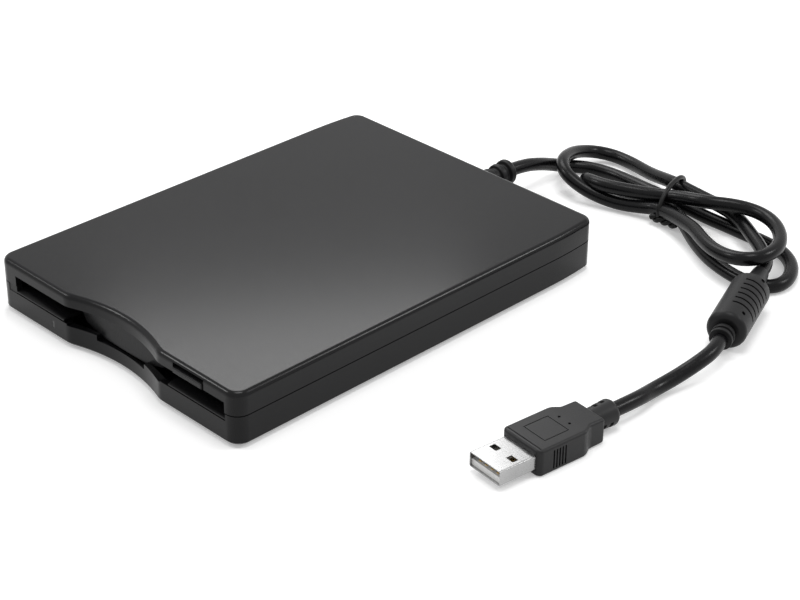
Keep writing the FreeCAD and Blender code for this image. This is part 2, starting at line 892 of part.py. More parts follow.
def flap_hinge_pin():
    reach = flap_arm_x + flap_arm_thickness / 2 + ear_gap + ear_thickness
    return cyl(-reach, flap_pin_y, flap_pin_z, flap_pin_r, 2 * reach, X_AXIS)


def flap_spring():
    x0 = -flap_arm_x + flap_arm_thickness / 2 + 0.5
    return coil(flap_spring_mean_r, flap_spring_wire, flap_spring_pitch, flap_spring_turns,
                V(x0, flap_pin_y, flap_pin_z), X_AXIS)


# ------------------------------------------------------------ eject button
def eject_button():
    x0, x1 = button_bounds(0)
    y0 = front_y - button_proud
    cap = box(x0, x1, y0, y0 + button_body_depth, button_z, button_z + button_height)
    face = [e for e in cap.Edges if e.BoundBox.YMax < y0 + 0.01]
    cap = cap.makeFillet(button_edge_r, face)
    inset = button_stem_inset
    stem = box(x0 + inset, x1 - inset, y0 + button_body_depth - touch,
               y0 + button_body_depth + button_stem_depth, button_z + button_stem_step,
               button_z + button_height - button_stem_step)
    return fuse([cap, stem])


def slider_wall(side):
    x0, x1 = sorted((mid_x + side * slider_in, mid_x + side * slider_out))
    wall_plate = box(x0, x1, slider_wall_front_y, slider_wall_back_y, deck_z + slider_above_deck, slider_top_z)
    slots = []
    for y in (pin_front_y, pin_back_y):
        reach = button_travel + pin_slot_end
        drop = carrier_drop / button_travel
        slots.append(slot_hole((y - pin_slot_end, pin_height + pin_slot_end * drop),
                               (y + reach, pin_height - reach * drop),
                               pin_r + pin_play, x0 - 1, x1 + 1))
    relief = box(x0 - 1, x1 + 1, pin_front_y + slider_relief_from_pin, pin_back_y - slider_relief_from_pin,
                 deck_z + slider_relief_bottom, slider_top_z - slider_relief_top)
    return cut(wall_plate, slots + [relief])


def slider_tab(side):
    """Lug that reaches in from the foot of the wall and takes the spring's hook."""
    half = spring_tab / 2
    z0 = deck_z + slider_above_deck
    y = eject_spring_front_y + eject_spring_length
    x0, x1 = sorted((mid_x + side * (eject_spring_x - half), mid_x + side * slider_out))
    lug = box(x0, x1, y, y + spring_tab, z0, z0 + sheet)
    a, b = sorted((mid_x + side * (eject_spring_x - half), mid_x + side * (eject_spring_x + half)))
    return lug.fuse(box(a, b, y, y + spring_tab_plate, z0, eject_spring_z + spring_tab_rise))


def eject_slider():
    z0 = slider_top_z - sheet
    x0, x1 = mid_x - slider_out, mid_x + slider_out
    rear = slider_rear_bar_y
    bars = [box(x0, x1, slider_front_y, slider_front_y + slider_bar_width, z0, slider_top_z),
            box(x0, x1, rear, rear + slider_bar_width, z0, slider_top_z)]
    rails = [box(a, b, slider_front_y, rear + 1, z0, slider_top_z)
             for a, b in ((x0, x0 + slider_rail_width), (x1 - slider_rail_width, x1))]
    bx0, bx1 = button_bounds(-button_stem_inset)
    reach_y = front_y - button_proud + button_body_depth + button_stem_depth
    arm = box(bx0 + slider_arm_inset, bx1 - slider_arm_inset, reach_y, slider_front_y + 1, z0, slider_top_z)
    parts = bars + rails + [arm] + [slider_wall(s) for s in (-1, 1)] + [slider_tab(s) for s in (-1, 1)]
    return fuse(parts)


# ------------------------------------------------------------ disk carrier
def carrier_side(side):
    a, b = sorted((mid_x + side * carrier_in, mid_x + side * carrier_out))
    upright = box(a, b, carrier_front_y, carrier_back_y, carrier_lip_top - sheet, carrier_top_z)
    c, d = sorted((mid_x + side * (carrier_in - lip_under_disk), mid_x + side * carrier_out))
    lip_plate = box(c, d, carrier_front_y, carrier_back_y, carrier_lip_top - sheet, carrier_lip_top)
    holes = [cyl(a - 1, y, pin_height, pin_r, b - a + 2, X_AXIS) for y in (pin_front_y, pin_back_y)]
    return cut(upright.fuse(lip_plate), holes)


def lever_slot():
    """Arc slot in the carrier's top that the lever's tip sweeps along."""
    r = lever_tip_r + lever_slot_play
    spare = math.degrees(1.2 * r / lever_reach)
    a0 = lever_rest_angle - spare
    a1 = lever_rest_angle + lever_swing + spare
    z0 = carrier_plate_z - 1
    band = ring(lever_pivot_x, lever_pivot_y, z0, lever_reach - r, lever_reach + r, 4)
    wedge = Part.makeCylinder(lever_reach + 5, 4, V(lever_pivot_x, lever_pivot_y, z0), Z_AXIS, a1 - a0)
    wedge.rotate(V(lever_pivot_x, lever_pivot_y, 0), Z_AXIS, a0)
    return band.common(wedge)


def carrier_windows():
    """Openings in the carrier's top for the head arm, the flap, the hub and the tool."""
    z0, z1 = carrier_plate_z - 1, carrier_top_z + 1
    half = head_window_half
    head = box(mid_x - half, mid_x + half, spindle_y + rotor_r, carrier_back_y + 1, z0, z1)
    half = carrier_relief_half
    front = box(mid_x - half, mid_x + half, carrier_front_y - 1, carrier_relief_y, z0, z1)
    outer = carrier_in - carrier_window_margin
    y0 = carrier_relief_y + carrier_window_margin
    light = [box(mid_x + x, mid_x + x + carrier_window_width, y0, y0 + carrier_window_length, z0, z1)
             for x in (-outer, outer - carrier_window_width)]
    centre = cyl(mid_x, spindle_y, z0, carrier_hub_window_r, z1 - z0)
    return [head, front, centre, lever_slot()] + light


def disk_carrier():
    plate = box(mid_x - carrier_out, mid_x + carrier_out, carrier_front_y, carrier_back_y,
                carrier_plate_z, carrier_top_z)
    body = fuse([plate, carrier_side(-1), carrier_side(1)])
    body = cut(body, carrier_windows())
    post_height = lever_gap + lever_sheet + lever_gap + clip_height
    post = cyl(lever_pivot_x, lever_pivot_y, carrier_top_z - touch, lever_pivot_r, post_height + touch)
    seat = cyl(lever_pivot_x, lever_pivot_y, carrier_top_z - touch, lever_pivot_r + 0.7, lever_gap)
    return fuse([body, post, seat])


def carrier_pins():
    pins = []
    for y in (pin_front_y, pin_back_y):
        pins.append(cyl(mid_x + carrier_in, y, pin_height, pin_r, chassis_out - carrier_in, X_AXIS))
        pins.append(cyl(mid_x - chassis_out, y, pin_height, pin_r, chassis_out - carrier_in, X_AXIS))
    return Part.makeCompound(pins)


# ----------------------------------------------------------- shutter lever
def shutter_lever():
    half = lever_width / 2
    x, y = lever_pivot_x, lever_pivot_y
    blade = prism_xy([(x - 7.0, y - 1.3), (x, y - half), (x + lever_reach, y - 1.5),
                      (x + lever_reach, y + 1.5), (x, y + half), (x - 7.0, y + 1.3)],
                     lever_z, lever_z + lever_sheet)
    eye = cyl(x, y, lever_z, 3.0, lever_sheet)
    end = cyl(x + lever_reach, y, lever_z, 1.5, lever_sheet)
    tip = cyl(x + lever_reach, y, lever_z - lever_tip_drop, lever_tip_r, lever_tip_drop + touch)
    hook = cyl(x - 7.0, y, lever_z, 1.3, lever_sheet)
    body = fuse([blade, eye, end, tip, hook])
    body = body.cut(cyl(x, y, lever_z - 1, lever_pivot_r + lever_play, 3))
    body.rotate(V(x, y, 0), Z_AXIS, lever_rest_angle)
    return body


def lever_clip():
    z0 = lever_z + lever_sheet + lever_gap / 2
    body = ring(lever_pivot_x, lever_pivot_y, z0, lever_pivot_r, clip_r, clip_height)
    notch = box(lever_pivot_x, lever_pivot_x + 4, lever_pivot_y - 0.9, lever_pivot_y + 0.9, z0 - 1, z0 + 1)
    return body.cut(notch)


# ------------------------------------------------------------ chassis
def chassis_wall(side):
    a, b = sorted((mid_x + side * chassis_in, mid_x + side * chassis_out))
    plate = box(a, b, chassis_front_y, deck_back_y, chassis_z, chassis_wall_top)
    slots = [slot_hole((y, pin_height + pin_slot_end), (y, pin_height - carrier_drop - pin_slot_end),
                       pin_r + pin_play, a - 1, b + 1) for y in (pin_front_y, pin_back_y)]
    return cut(plate, slots)


def rod_ear(y):
    """Upright plate that holds one end of the guide rod and of the lead screw."""
    half = rod_ear_half
    plate = box(mid_x + rod_x - half, mid_x + rod_x + half, y, y + ear_plate, deck_z - touch, rod_z + half)
    half = screw_rod_r + 1.6
    post = box(mid_x + screw_rod_x - half, mid_x + screw_rod_x + half, y, y + ear_plate,
               deck_z - touch, screw_rod_z + rod_ear_half)
    holes = [cyl(mid_x + rod_x, y - 1, rod_z, rod_r, 3, Y_AXIS),
             cyl(mid_x + screw_rod_x, y - 1, screw_rod_z, screw_rod_r + rod_play, 3, Y_AXIS)]
    return cut(fuse([plate, post]), holes)


def spring_post(side):
    x = mid_x + side * eject_spring_x
    y = eject_spring_front_y
    half = spring_tab / 2
    return box(x - half, x + half, y - spring_tab_plate, y, deck_z - touch, eject_spring_z + spring_tab_rise)


def board_studs():
    inset = board_stud_inset
    left, back = control_board_left + inset, control_board_back - inset
    places = [(left, control_board_front + inset), (left, back), (control_board_right - inset, back)]
    return [cyl(x, y, deck_z - touch, board_stud_r, board_lift + touch) for x, y in places]


def chassis():
    deck = box(mid_x - chassis_out, mid_x + chassis_out, chassis_front_y, deck_back_y, chassis_z, deck_z)
    tail = box(control_board_left, mid_x + chassis_out - tail_step, deck_back_y - 1, chassis_back_y,
               chassis_z, deck_z)
    adds = [chassis_wall(s) for s in (-1, 1)] + [spring_post(s) for s in (-1, 1)]
    adds += [rod_ear(ear_front_y), rod_ear(chassis_back_y - ear_plate)] + board_studs()
    body = fuse([deck, tail] + adds)
    z0, z1 = chassis_z - 1, deck_z + 1
    holes = [cyl(x, y, z0, chassis_screw_r + chassis_screw_play, z1 - z0) for x, y in chassis_screw_places()]
    holes.append(cyl(mid_x, spindle_y, z0, bearing_r, z1 - z0))
    return cut(body, holes + deck_windows())


def deck_windows():
    """Openings that lighten the deck, and the one that the head's beam runs over."""
    z0, z1 = chassis_z - 1, deck_z + 1
    outer = chassis_in - deck_window_margin
    y0 = spindle_y - deck_window_before_spindle
    sides = [box(mid_x + x, mid_x + x + deck_window_width, y0, y0 + deck_window_length, z0, z1)
             for x in (-outer, outer - deck_window_width)]
    half = deck_beam_window_half
    y1 = spindle_y + motor_board_r
    return sides + [box(mid_x - half, mid_x + half, y1, y1 + deck_beam_window_length, z0, z1)]


def chassis_screws():
    length = deck_z - floor_z - 0.1
    return Part.makeCompound([machine_screw(x, y, deck_z, chassis_screw_head_r, chassis_screw_head_height,
                                            chassis_screw_r, length, up=False)
                              for x, y in chassis_screw_places()])


# ----------------------------------------------------------- spindle motor
def motor_board():
    z1 = deck_z + motor_board_thickness
    disc = cyl(mid_x, spindle_y, deck_z, motor_board_r, motor_board_thickness)
    r = motor_board_r
    tab = box(mid_x - r, mid_x - r + motor_board_tab, spindle_y, spindle_y + motor_board_back, deck_z, z1)
    body = disc.fuse(tab).removeSplitter()
    keep = box(mid_x - r - 1, mid_x + r + 1, spindle_y - r - 1, spindle_y + motor_board_back, deck_z - 1, z1 + 1)
    return body.common(keep).cut(cyl(mid_x, spindle_y, deck_z - 1, bearing_r, 3))


def spindle_bearing():
    z0 = chassis_z
    flange = cyl(mid_x, spindle_y, deck_z + motor_board_thickness, bearing_r + 1.2, 0.5)
    sleeve = cyl(mid_x, spindle_y, z0, bearing_r, rotor_top - rotor_sheet - 0.5 - z0)
    return fuse([sleeve, flange]).cut(cyl(mid_x, spindle_y, z0 - 1, shaft_r + shaft_play, 10))


def stator_tooth(z0, index):
    tip_r = rotor_r - rotor_sheet - magnet_thickness - stator_gap
    inner = stator_core_r
    half = tooth_width / 2
    tooth = box(inner - 0.5, tip_r - 0.4, -half, half, z0 + 0.25, z0 + stator_height - 0.25)
    shoe = box(tip_r - 1.2, tip_r - 0.15, -1.9, 1.9, z0 + 0.2, z0 + stator_height - 0.2)
    winding = box(tip_r - 1.6 - coil_length, tip_r - 1.6, -coil_width / 2, coil_width / 2, z0, z0 + stator_height)
    body = tooth.fuse([shoe, winding])
    body.rotate(V(0, 0, 0), Z_AXIS, index * 360.0 / stator_teeth)
    body.translate(V(mid_x, spindle_y, 0))
    return body


def spindle_stator():
    z0 = deck_z + motor_board_thickness
    core = ring(mid_x, spindle_y, z0, stator_core_r - stator_core_width, stator_core_r, stator_height)
    return fuse([core] + [stator_tooth(z0, i) for i in range(stator_teeth)])


def spindle_rotor():
    z0 = rotor_top - rotor_sheet
    disc = cyl(mid_x, spindle_y, z0, rotor_r, rotor_sheet)
    disc = disc.makeChamfer(0.3, [e for e in disc.Edges if e.BoundBox.ZMin > rotor_top - 0.01])
    rim = ring(mid_x, spindle_y, z0 - rotor_rim_depth, rotor_r - rotor_sheet, rotor_r, rotor_rim_depth + touch)
    shaft = cyl(mid_x, spindle_y, chassis_z + 0.2, shaft_r, z0 - chassis_z)
    holes = [cyl(mid_x + 15.5 * math.cos(a), spindle_y + 15.5 * math.sin(a), z0 - 1, 1.5, 3)
             for a in (0.5, 0.5 + math.pi * 2 / 3, 0.5 + math.pi * 4 / 3)]
    return cut(fuse([disc, rim, shaft]), holes)


def rotor_magnet():
    r_out = rotor_r - rotor_sheet
    z0 = rotor_top - rotor_sheet - rotor_rim_depth
    return ring(mid_x, spindle_y, z0, r_out - magnet_thickness, r_out, rotor_rim_depth)


def spindle_hub():
    plate = cyl(mid_x, spindle_y, rotor_top, hub_r, hub_height)
    plate = plate.makeChamfer(0.35, [e for e in plate.Edges if e.BoundBox.ZMin > rotor_top + hub_height - 0.01])
    boss = cyl(mid_x, spindle_y, rotor_top + hub_height - touch, spindle_boss_r, spindle_boss_height + touch)
    boss = boss.makeChamfer(0.4, [e for e in boss.Edges
                                 if e.BoundBox.ZMin > rotor_top + hub_height + spindle_boss_height - 0.01])
    groove = ring(mid_x, spindle_y, rotor_top + hub_height - 0.3, 5.2, 6.2, 1)
    return fuse([plate, boss]).cut(groove)


def drive_pin():
    z0 = rotor_top + hub_height
    pin = cyl(mid_x + drive_pin_radius, spindle_y, z0, drive_pin_r, drive_pin_height)
    return pin.makeChamfer(0.3, [e for e in pin.Edges if e.BoundBox.ZMin > z0 + drive_pin_height - 0.01])


# --------------------------------------------------------- head carriage
def carriage_posts():
    posts = []
    for side in (-1, 1):
        a, b = sorted((mid_x + side * (arm_post_half - arm_post_thickness), mid_x + side * arm_post_half))
        post = box(a, b, arm_hinge_y - arm_eye_r, arm_hinge_y + arm_eye_r, carriage_top - touch, arm_hinge_z)
        eye = cyl(a, arm_hinge_y, arm_hinge_z, arm_eye_r, b - a, X_AXIS)
        posts.append(post.fuse(eye).cut(cyl(a - 1, arm_hinge_y, arm_hinge_z, arm_pin_r, 4, X_AXIS)))
    return posts


def head_carriage():
    y0, y1 = carriage_front_y, carriage_back_y
    body = box(mid_x - carriage_left, mid_x + screw_rod_x - 3.4, y0, y1, head_beam_bottom, carriage_top)
    nut = box(mid_x + screw_rod_x - 3.5, mid_x + screw_rod_x + 2.8, y0 + 2, y0 + 6,
              screw_rod_z - 2.8, screw_rod_z + 2.6)
    pocket = box(mid_x - 5.5, mid_x + 7.0, y0 + 3.6, y1 - 1.2, head_beam_bottom + 1.4, carriage_top + 1)
    beam = box(mid_x - head_beam_half, mid_x + head_beam_half, head_rest_y - 3.2, y0 + touch,
               head_beam_bottom, head_beam_bottom + head_beam_thickness)
    tip = cyl(mid_x, head_rest_y, head_beam_bottom, head_r + 0.9, head_beam_thickness + 0.5)
    shape = fuse([body, nut, beam, tip] + carriage_posts())
    rod = cyl(mid_x + rod_x, y0 - 1, rod_z, rod_r + rod_play, carriage_length + 2, Y_AXIS)
    screw = cyl(mid_x + screw_rod_x, y0 - 1, screw_rod_z, screw_rod_r + rod_play, carriage_length + 2, Y_AXIS)
    return cut(shape, [rod, screw, pocket])


def lower_head():
    z0 = head_beam_bottom + head_beam_thickness + 0.5
    button = cyl(mid_x, head_rest_y, z0, head_r, lower_head_top - z0)
    return button.makeChamfer(0.4, [e for e in button.Edges if e.BoundBox.ZMin > lower_head_top - 0.01])


def arm_pin():
    return cyl(mid_x - arm_post_half, arm_hinge_y, arm_hinge_z, arm_pin_r, 2 * arm_post_half, X_AXIS)


def upper_head_arm():
    z0, z1 = arm_bottom_z, arm_bottom_z + arm_thickness
    tip_y = head_rest_y - 2.6
    blade = prism_xy([(mid_x - 2.6, tip_y), (mid_x + 2.6, tip_y), (mid_x + arm_half, tip_y + 10),
                      (mid_x + arm_half, arm_hinge_y), (mid_x - arm_half, arm_hinge_y),
                      (mid_x - arm_half, tip_y + 10)], z0, z1)
    eye = cyl(mid_x - arm_half, arm_hinge_y, arm_hinge_z, arm_eye_r, 2 * arm_half, X_AXIS)
    body = fuse([blade, eye])
    body = body.cut(box(mid_x - 1.6, mid_x + 1.6, tip_y + 8, arm_hinge_y - 4, z0 - 1, z1 + 1))
    return body.cut(cyl(mid_x - 10, arm_hinge_y, arm_hinge_z, arm_pin_r + rod_play, 20, X_AXIS))


def upper_head():
    z0 = arm_bottom_z - upper_head_height
    button = cyl(mid_x, head_rest_y, z0, head_r, upper_head_height)
    return button.makeChamfer(0.15, [e for e in button.Edges if e.BoundBox.ZMax < z0 + 0.01])


def guide_rod():
    y0 = ear_front_y
    return cyl(mid_x + rod_x, y0, rod_z, rod_r, chassis_back_y - y0, Y_AXIS)


def lead_screw():
    y0 = ear_front_y
    y1 = chassis_back_y + stepper_gap + 0.6
    shaft = cyl(mid_x + screw_rod_x, y0, screw_rod_z, screw_rod_r, y1 - y0, Y_AXIS)
    ends = [e for e in shaft.Edges if e.BoundBox.YMax < y0 + 0.01]
    return shaft.makeChamfer(0.3, ends)


def stepper_motor():
    y0 = chassis_back_y + stepper_gap
    x, z = mid_x + screw_rod_x, screw_rod_z
    can = cyl(x, y0, z, stepper_r, stepper_length, Y_AXIS)
    can = can.makeChamfer(0.6, [e for e in can.Edges if len(e.Vertexes) == 1])
    seam = ring(x, y0 + stepper_length / 2 - 0.2, z, stepper_r - 0.3, stepper_r + 1, 0.4, Y_AXIS)
    tail = cyl(x, y0 + stepper_length - touch, z, 1.6, 0.5, Y_AXIS)
    foot = box(x - 2.6, x + 2.6, y0 + 1.0, y0 + stepper_length - 1.0, floor_z, z - stepper_r + 0.4)
    well = cyl(x, y0 - 1, z, screw_rod_r + 0.3, 1.9, Y_AXIS)
    return cut(fuse([can, tail, foot]), [seam, well])


# --------------------------------------------------------------- boards
def chip(x, y, z, w, d, h):
    body = box(x - w / 2, x + w / 2, y - d / 2, y + d / 2, z, z + h)
    return body.makeChamfer(chip_edge, [e for e in body.Edges if e.BoundBox.ZMin > z + h - 0.01])


def control_board():
    z0 = deck_z + board_lift
    plate = box(control_board_left, control_board_right, control_board_front, control_board_back,
                z0, z0 + board_thickness)
    corners = [e for e in plate.Edges if e.BoundBox.ZLength > board_thickness / 2]
    return plate.makeFillet(1.2, corners)


def control_chips():
    """Controller, driver, regulator and resonator, placed from the board's corner."""
    z = deck_z + board_lift + board_thickness
    y0 = control_board_front + chip_edge_gap
    x0 = control_board_left + resonator_width + 2 * chip_edge_gap
    x1 = x0 + controller_size + 2 * chip_edge_gap + driver_size / 2
    y1 = y0 + driver_size + chip_edge_gap
    return Part.makeCompound([
        chip(x0 - chip_edge_gap - resonator_width / 2, y0 + resonator_length / 2, z, resonator_width,
             resonator_length, chip_height),
        chip(x0 + controller_size / 2, y0 + controller_size / 2, z, controller_size, controller_size, chip_height),
        chip(x1, y0 + driver_size / 2, z, driver_size, driver_size, chip_height),
        chip(x1, y1 + memory_width / 2, z, memory_length, memory_width, chip_height)])


def bridge_board():
    z0 = bridge_board_bottom
    plate = box(bridge_board_left, bridge_board_right, bridge_board_front, bridge_board_back,
                z0, z0 + board_thickness)
    return plate.makeFillet(1.0, [e for e in plate.Edges if e.BoundBox.ZLength > board_thickness / 2])


def bridge_chips():
    z = bridge_board_bottom + board_thickness
    y = (bridge_board_front + bridge_board_back) / 2
    x0 = bridge_board_left + chip_edge_gap
    x1 = x0 + memory_width + 4 * chip_edge_gap
    x2 = x1 + driver_size + 2 * chip_edge_gap
    return Part.makeCompound([
        chip(x0 + memory_width / 2, y, z, memory_width, memory_length, chip_height),
        cyl(x1, y, z, crystal_r, chip_height),
        chip(x2, y, z, driver_size, bridge_chip_depth, chip_height)])


def lead_header():
    z = bridge_board_bottom + board_thickness
    body = box(boot_x - 4.6, boot_x + 4.6, bridge_board_front + 0.8, bridge_board_front + 4.6, z, z + 3.4)
    mouth = box(boot_x - 3.6, boot_x + 3.6, bridge_board_front + 2.6, bridge_board_front + 5, z + 0.9, z + 2.6)
    return body.cut(mouth)


def ribbon_cable():
    """Flat cable that steps down from the control board to the bridge board."""
    x0 = bridge_board_left + ribbon_from_board_end
    x1 = x0 + ribbon_width
    z_high = deck_z + board_lift + board_thickness
    z_low = bridge_board_bottom + board_thickness
    t = ribbon_thickness
    y0, y1 = control_board_back - 3.0, bridge_board_front + 1.2
    mid = control_board_back + 0.6
    profile = [(y0, z_high), (mid, z_high), (mid + 1.2, z_low), (y1, z_low), (y1, z_low + t),
               (mid + 1.2 + t, z_low + t), (mid + t, z_high + t), (y0, z_high + t)]
    return prism_yz(profile, x0, x1)


def disk_switches():
    """Three push switches along the deck's front: disk in, write protect, density."""
    w, d, h = switch_width / 2, switch_depth / 2, switch_height
    y = chassis_front_y + switch_behind_chassis_front
    outer = chassis_in - switch_from_wall
    out = []
    for x in (mid_x - outer, mid_x + outer, mid_x + outer - switch_spacing):
        body = box(x - w, x + w, y - d, y + d, deck_z, deck_z + h)
        plunger = cyl(x, y, deck_z + h - touch, switch_plunger_r, switch_plunger_rise + touch)
        out.append(body.fuse(plunger).removeSplitter())
    return Part.makeCompound(out)


def light_pipe():
    half = light_pipe_width / 2
    z0 = base_z + light_pipe_centre - light_pipe_height / 2
    return box(light_pipe_x - half, light_pipe_x + half, front_y + 0.05, chassis_front_y - led_gap,
               z0, z0 + light_pipe_height)


def activity_led():
    y0 = chassis_front_y + led_setback
    body = box(light_pipe_x - led_width / 2, light_pipe_x + led_width / 2, y0, y0 + led_length,
               deck_z, deck_z + led_height)
    return body.makeChamfer(0.4, [e for e in body.Edges if e.BoundBox.ZMin > deck_z + led_height - 0.01])


def eject_springs():
    springs = []
    pitch = (eject_spring_length - 2 * spring_end_gap) / eject_spring_turns
    for side in (-1, 1):
        start = V(mid_x + side * eject_spring_x, eject_spring_front_y + spring_end_gap, eject_spring_z)
        springs.append(coil(eject_spring_r, eject_spring_wire, pitch, eject_spring_turns, start, Y_AXIS))
    return Part.makeCompound(springs)


# -------------------------------------------------------------- lead boot
def turned(profile, origin, axis):
    """A solid turned from (distance, radius) pairs about an axis."""
    points = [V(r, 0, s) for s, r in profile]
    points = [V(0, 0, profile[0][0])] + points + [V(0, 0, profile[-1][0])]
    wire = Part.makePolygon(points + points[:1])
    solid = Part.Face(wire).revolve(V(0, 0, 0), Z_AXIS, 360)
    solid = Part.Solid(solid) if solid.ShapeType != "Solid" else solid
    solid.Placement = FreeCAD.Placement(origin, FreeCAD.Rotation(Z_AXIS, axis))
    return solid


def grooved(length, r0, r1, grooves, width, depth):
    """Profile of a tapered sleeve with square ring grooves at the given places."""
    def radius(s):
        return r0 + (r1 - r0) * s / length

    profile = [(0, r0)]
    for s in grooves:
        a, b = s - width / 2, s + width / 2
        profile += [(a, radius(a)), (a, radius(a) - depth), (b, radius(b) - depth), (b, radius(b))]
    return profile + [(length - 0.5, r1), (length, r1 - 0.5)]


def cable_boot():
    first = boot_length - boot_groove_from_end - boot_groove_pitch
    grooves = [first, first + boot_groove_pitch]
    sleeve = turned(grooved(boot_length, boot_base_r, boot_end_r, grooves, boot_groove_width, boot_groove_depth),
                    V(boot_x, back_y, boot_z), Y_AXIS)
    neck = cyl(boot_x, back_y - wall - 0.2, boot_z, boot_neck_r, wall + 0.4, Y_AXIS)
    flange = cyl(boot_x, back_y - wall - 0.1 - boot_flange_thickness, boot_z, boot_flange_r,
                 boot_flange_thickness, Y_AXIS)
    return fuse([sleeve, neck, flange])


# ----------------------------------------------------------------- cord
def plug_point(distance):
    """A place on the plug's axis, so far behind its mouth."""
    turn = math.radians(plug_turn)
    return (plug_mouth[0] - distance * math.sin(turn), plug_mouth[1] + distance * math.cos(turn),
            grip_height / 2)


def past_ferrite(end, other, distance):
    """A place on the ferrite bead's axis, so far outside the given end."""
    axis = (V(*end) - V(*other)).normalize()
    return tuple(V(*end) + axis * distance)


relief_end = plug_shell_out + grip_length + neck_length - relief_overlap + relief_length
lead_route = [(boot_x, back_y + boot_length, boot_z), (3.0, 93.0, 9.8), (3.5, 100.0, 8.2),
              (3.1, 106.8, 5.8), (3.4, 112.2, 3.8)]
tail_route = [(86.4, 106.6, 6.4), past_ferrite(ferrite_back, ferrite_front, 7.3), ferrite_back]
end_route = [ferrite_front, past_ferrite(ferrite_front, ferrite_back, 7.0), (112.2, 43.2, 5.2),
             (110.9, 35.8, 3.4), (109.9, 27.0, 2.6), plug_point(relief_end + 9.0), plug_point(relief_end)]


def cord_wire(points, label):
    """Straight runs joined by tangent arcs, each as large as its two runs allow."""
    pts = [V(*p) for p in points]
    edges = []
    at = pts[0]
    radii = []
    for a, b, c in zip(pts, pts[1:], pts[2:]):
        u, w = (b - a), (c - b)
        shorter = min(u.Length, w.Length)
        u.normalize()
        w.normalize()
        half = math.acos(max(-1.0, min(1.0, u.dot(w)))) / 2
        back = 0.45 * shorter
        r = back / math.tan(half)
        radii.append(r)
        start, end = b - u * back, b + w * back
        bow = (w - u).normalize()
        middle = b + bow * (r / math.cos(half) - r)
        if (start - at).Length > 0.01:
            edges.append(Part.LineSegment(at, start).toShape())
        edges.append(Part.Arc(start, middle, end).toShape())
        at = end
    edges.append(Part.LineSegment(at, pts[-1]).toShape())
    wire = Part.Wire(edges)
    print(label, "length", round(wire.Length, 1), "radii", [round(r, 1) for r in radii])
    return wire


def cord_tube(points, label):
    wire = cord_wire(points, label)
    first = wire.Edges[0]
    start = first.valueAt(first.FirstParameter)
    heading = first.tangentAt(first.FirstParameter)
    section = Part.Wire([Part.makeCircle(cord_d / 2, start, heading)])
    tube = wire.makePipeShell([section], True, False)
    expected = math.pi * cord_d ** 2 / 4 * wire.Length
    print(label, "volume over section times length", round(tube.Volume / expected, 4))
    return tube


def lobe(bows, height):
    """A flat solid whose plan is a ring of arcs: start, middle, end, middle and so on."""
    pts = [V(x, y, 0) for x, y in bows] + [V(bows[0][0], bows[0][1], 0)]
    arcs = [Part.Arc(pts[i], pts[i + 1], pts[i + 2]).toShape() for i in range(0, len(pts) - 2, 2)]
    return Part.Face(Part.Wire(arcs)).extrude(V(0, 0, height))


def cord_pocket(end, before):
    """Room in the hank for the last run of a tube, flat where the tube ends."""
    run = V(*before) - V(*end)
    return Part.makeCylinder(cord_d / 2 + cord_pocket_play, run.Length * 2, V(*end), run)


def cord_hank():
    left = lobe([(43.0, 106.0), (31.0, 101.0), (19.0, 98.0), (4.8, 104.6), (0.0, 118.0), (2.0, 129.4),
                 (10.0, 133.0), (27.0, 130.0), (43.0, 121.0), (44.5, 113.5)], hank_left_height)
    right = lobe([(48.6, 121.0), (47.1, 113.5), (48.6, 106.0), (60.0, 100.0), (74.0, 91.6), (86.0, 88.8),
                  (97.0, 91.6), (101.6, 102.0), (94.0, 114.6), (73.0, 125.6)], hank_right_height)
    waist = box(40.0, 52.0, tie_front_y, tie_back_y, tie_wire, hank_waist_top)
    waist = waist.makeFillet(tie_wire, [e for e in waist.Edges if e.BoundBox.XLength > tie_wire])
    axis = V(*ferrite_front) - V(*ferrite_back)
    body_room = Part.makeCylinder(ferrite_r + cord_pocket_play, axis.Length,
                                  V(*past_ferrite(ferrite_back, ferrite_front, -1.5)), axis)
    collar_room = Part.makeCylinder(ferrite_collar_r + cord_pocket_play, axis.Length, V(*ferrite_back), axis)
    tail = cord_pocket(tail_route[0], tail_route[1])
    bore = cord_pocket(tail_route[1], tail_route[2])
    lead = cord_pocket(lead_route[-1], lead_route[-2])
    return cut(fuse([left, right, waist]), [tail, bore, lead, body_room, collar_room])


def cord_tie():
    """Wire tie round the waist of the hank, its two ends twisted together."""
    w = tie_wire
    x0, x1 = tie_x - w / 2, tie_x + w / 2
    outer = box(x0, x1, tie_front_y - w, tie_back_y + w, 0, hank_waist_top + w)
    outer = outer.makeFillet(2 * w, [e for e in outer.Edges if e.BoundBox.XLength > w / 2
                                     and e.BoundBox.YLength + e.BoundBox.ZLength < 0.01])
    inner = box(x0 - 1, x1 + 1, tie_front_y, tie_back_y, w, hank_waist_top)
    inner = inner.makeFillet(w, [e for e in inner.Edges if e.BoundBox.XLength > w / 2
                                 and e.BoundBox.YLength + e.BoundBox.ZLength < 0.01])
    knot = cyl(tie_x, tie_front_y - w / 2 - tie_knot_r, tie_knot_r, tie_knot_r, tie_knot_length, V(1, -0.45, 0))
    return fuse([outer.cut(inner), knot])


def cord_lead():
    return cord_tube(lead_route, "lead")


def cord_tail():
    return cord_tube(tail_route, "tail")


def cord_end():
    return cord_tube(end_route, "end")


def ferrite_bead():
    start, end = V(*ferrite_back), V(*ferrite_front)
    axis = end - start
    length = axis.Length
    body_start = ferrite_back_collar_length
    body_end = length - ferrite_collar_length
    r, rr = ferrite_r, ferrite_round
    body = turned([(body_start, r - rr), (body_start + rr, r), (body_end - rr, r), (body_end, r - rr)],
                  start, axis)
    collars = turned([(0, ferrite_collar_r - 0.5), (0.5, ferrite_collar_r), (length - 0.5, ferrite_collar_r),
                      (length, ferrite_collar_r - 0.5)], start, axis)
    return fuse([body, collars])


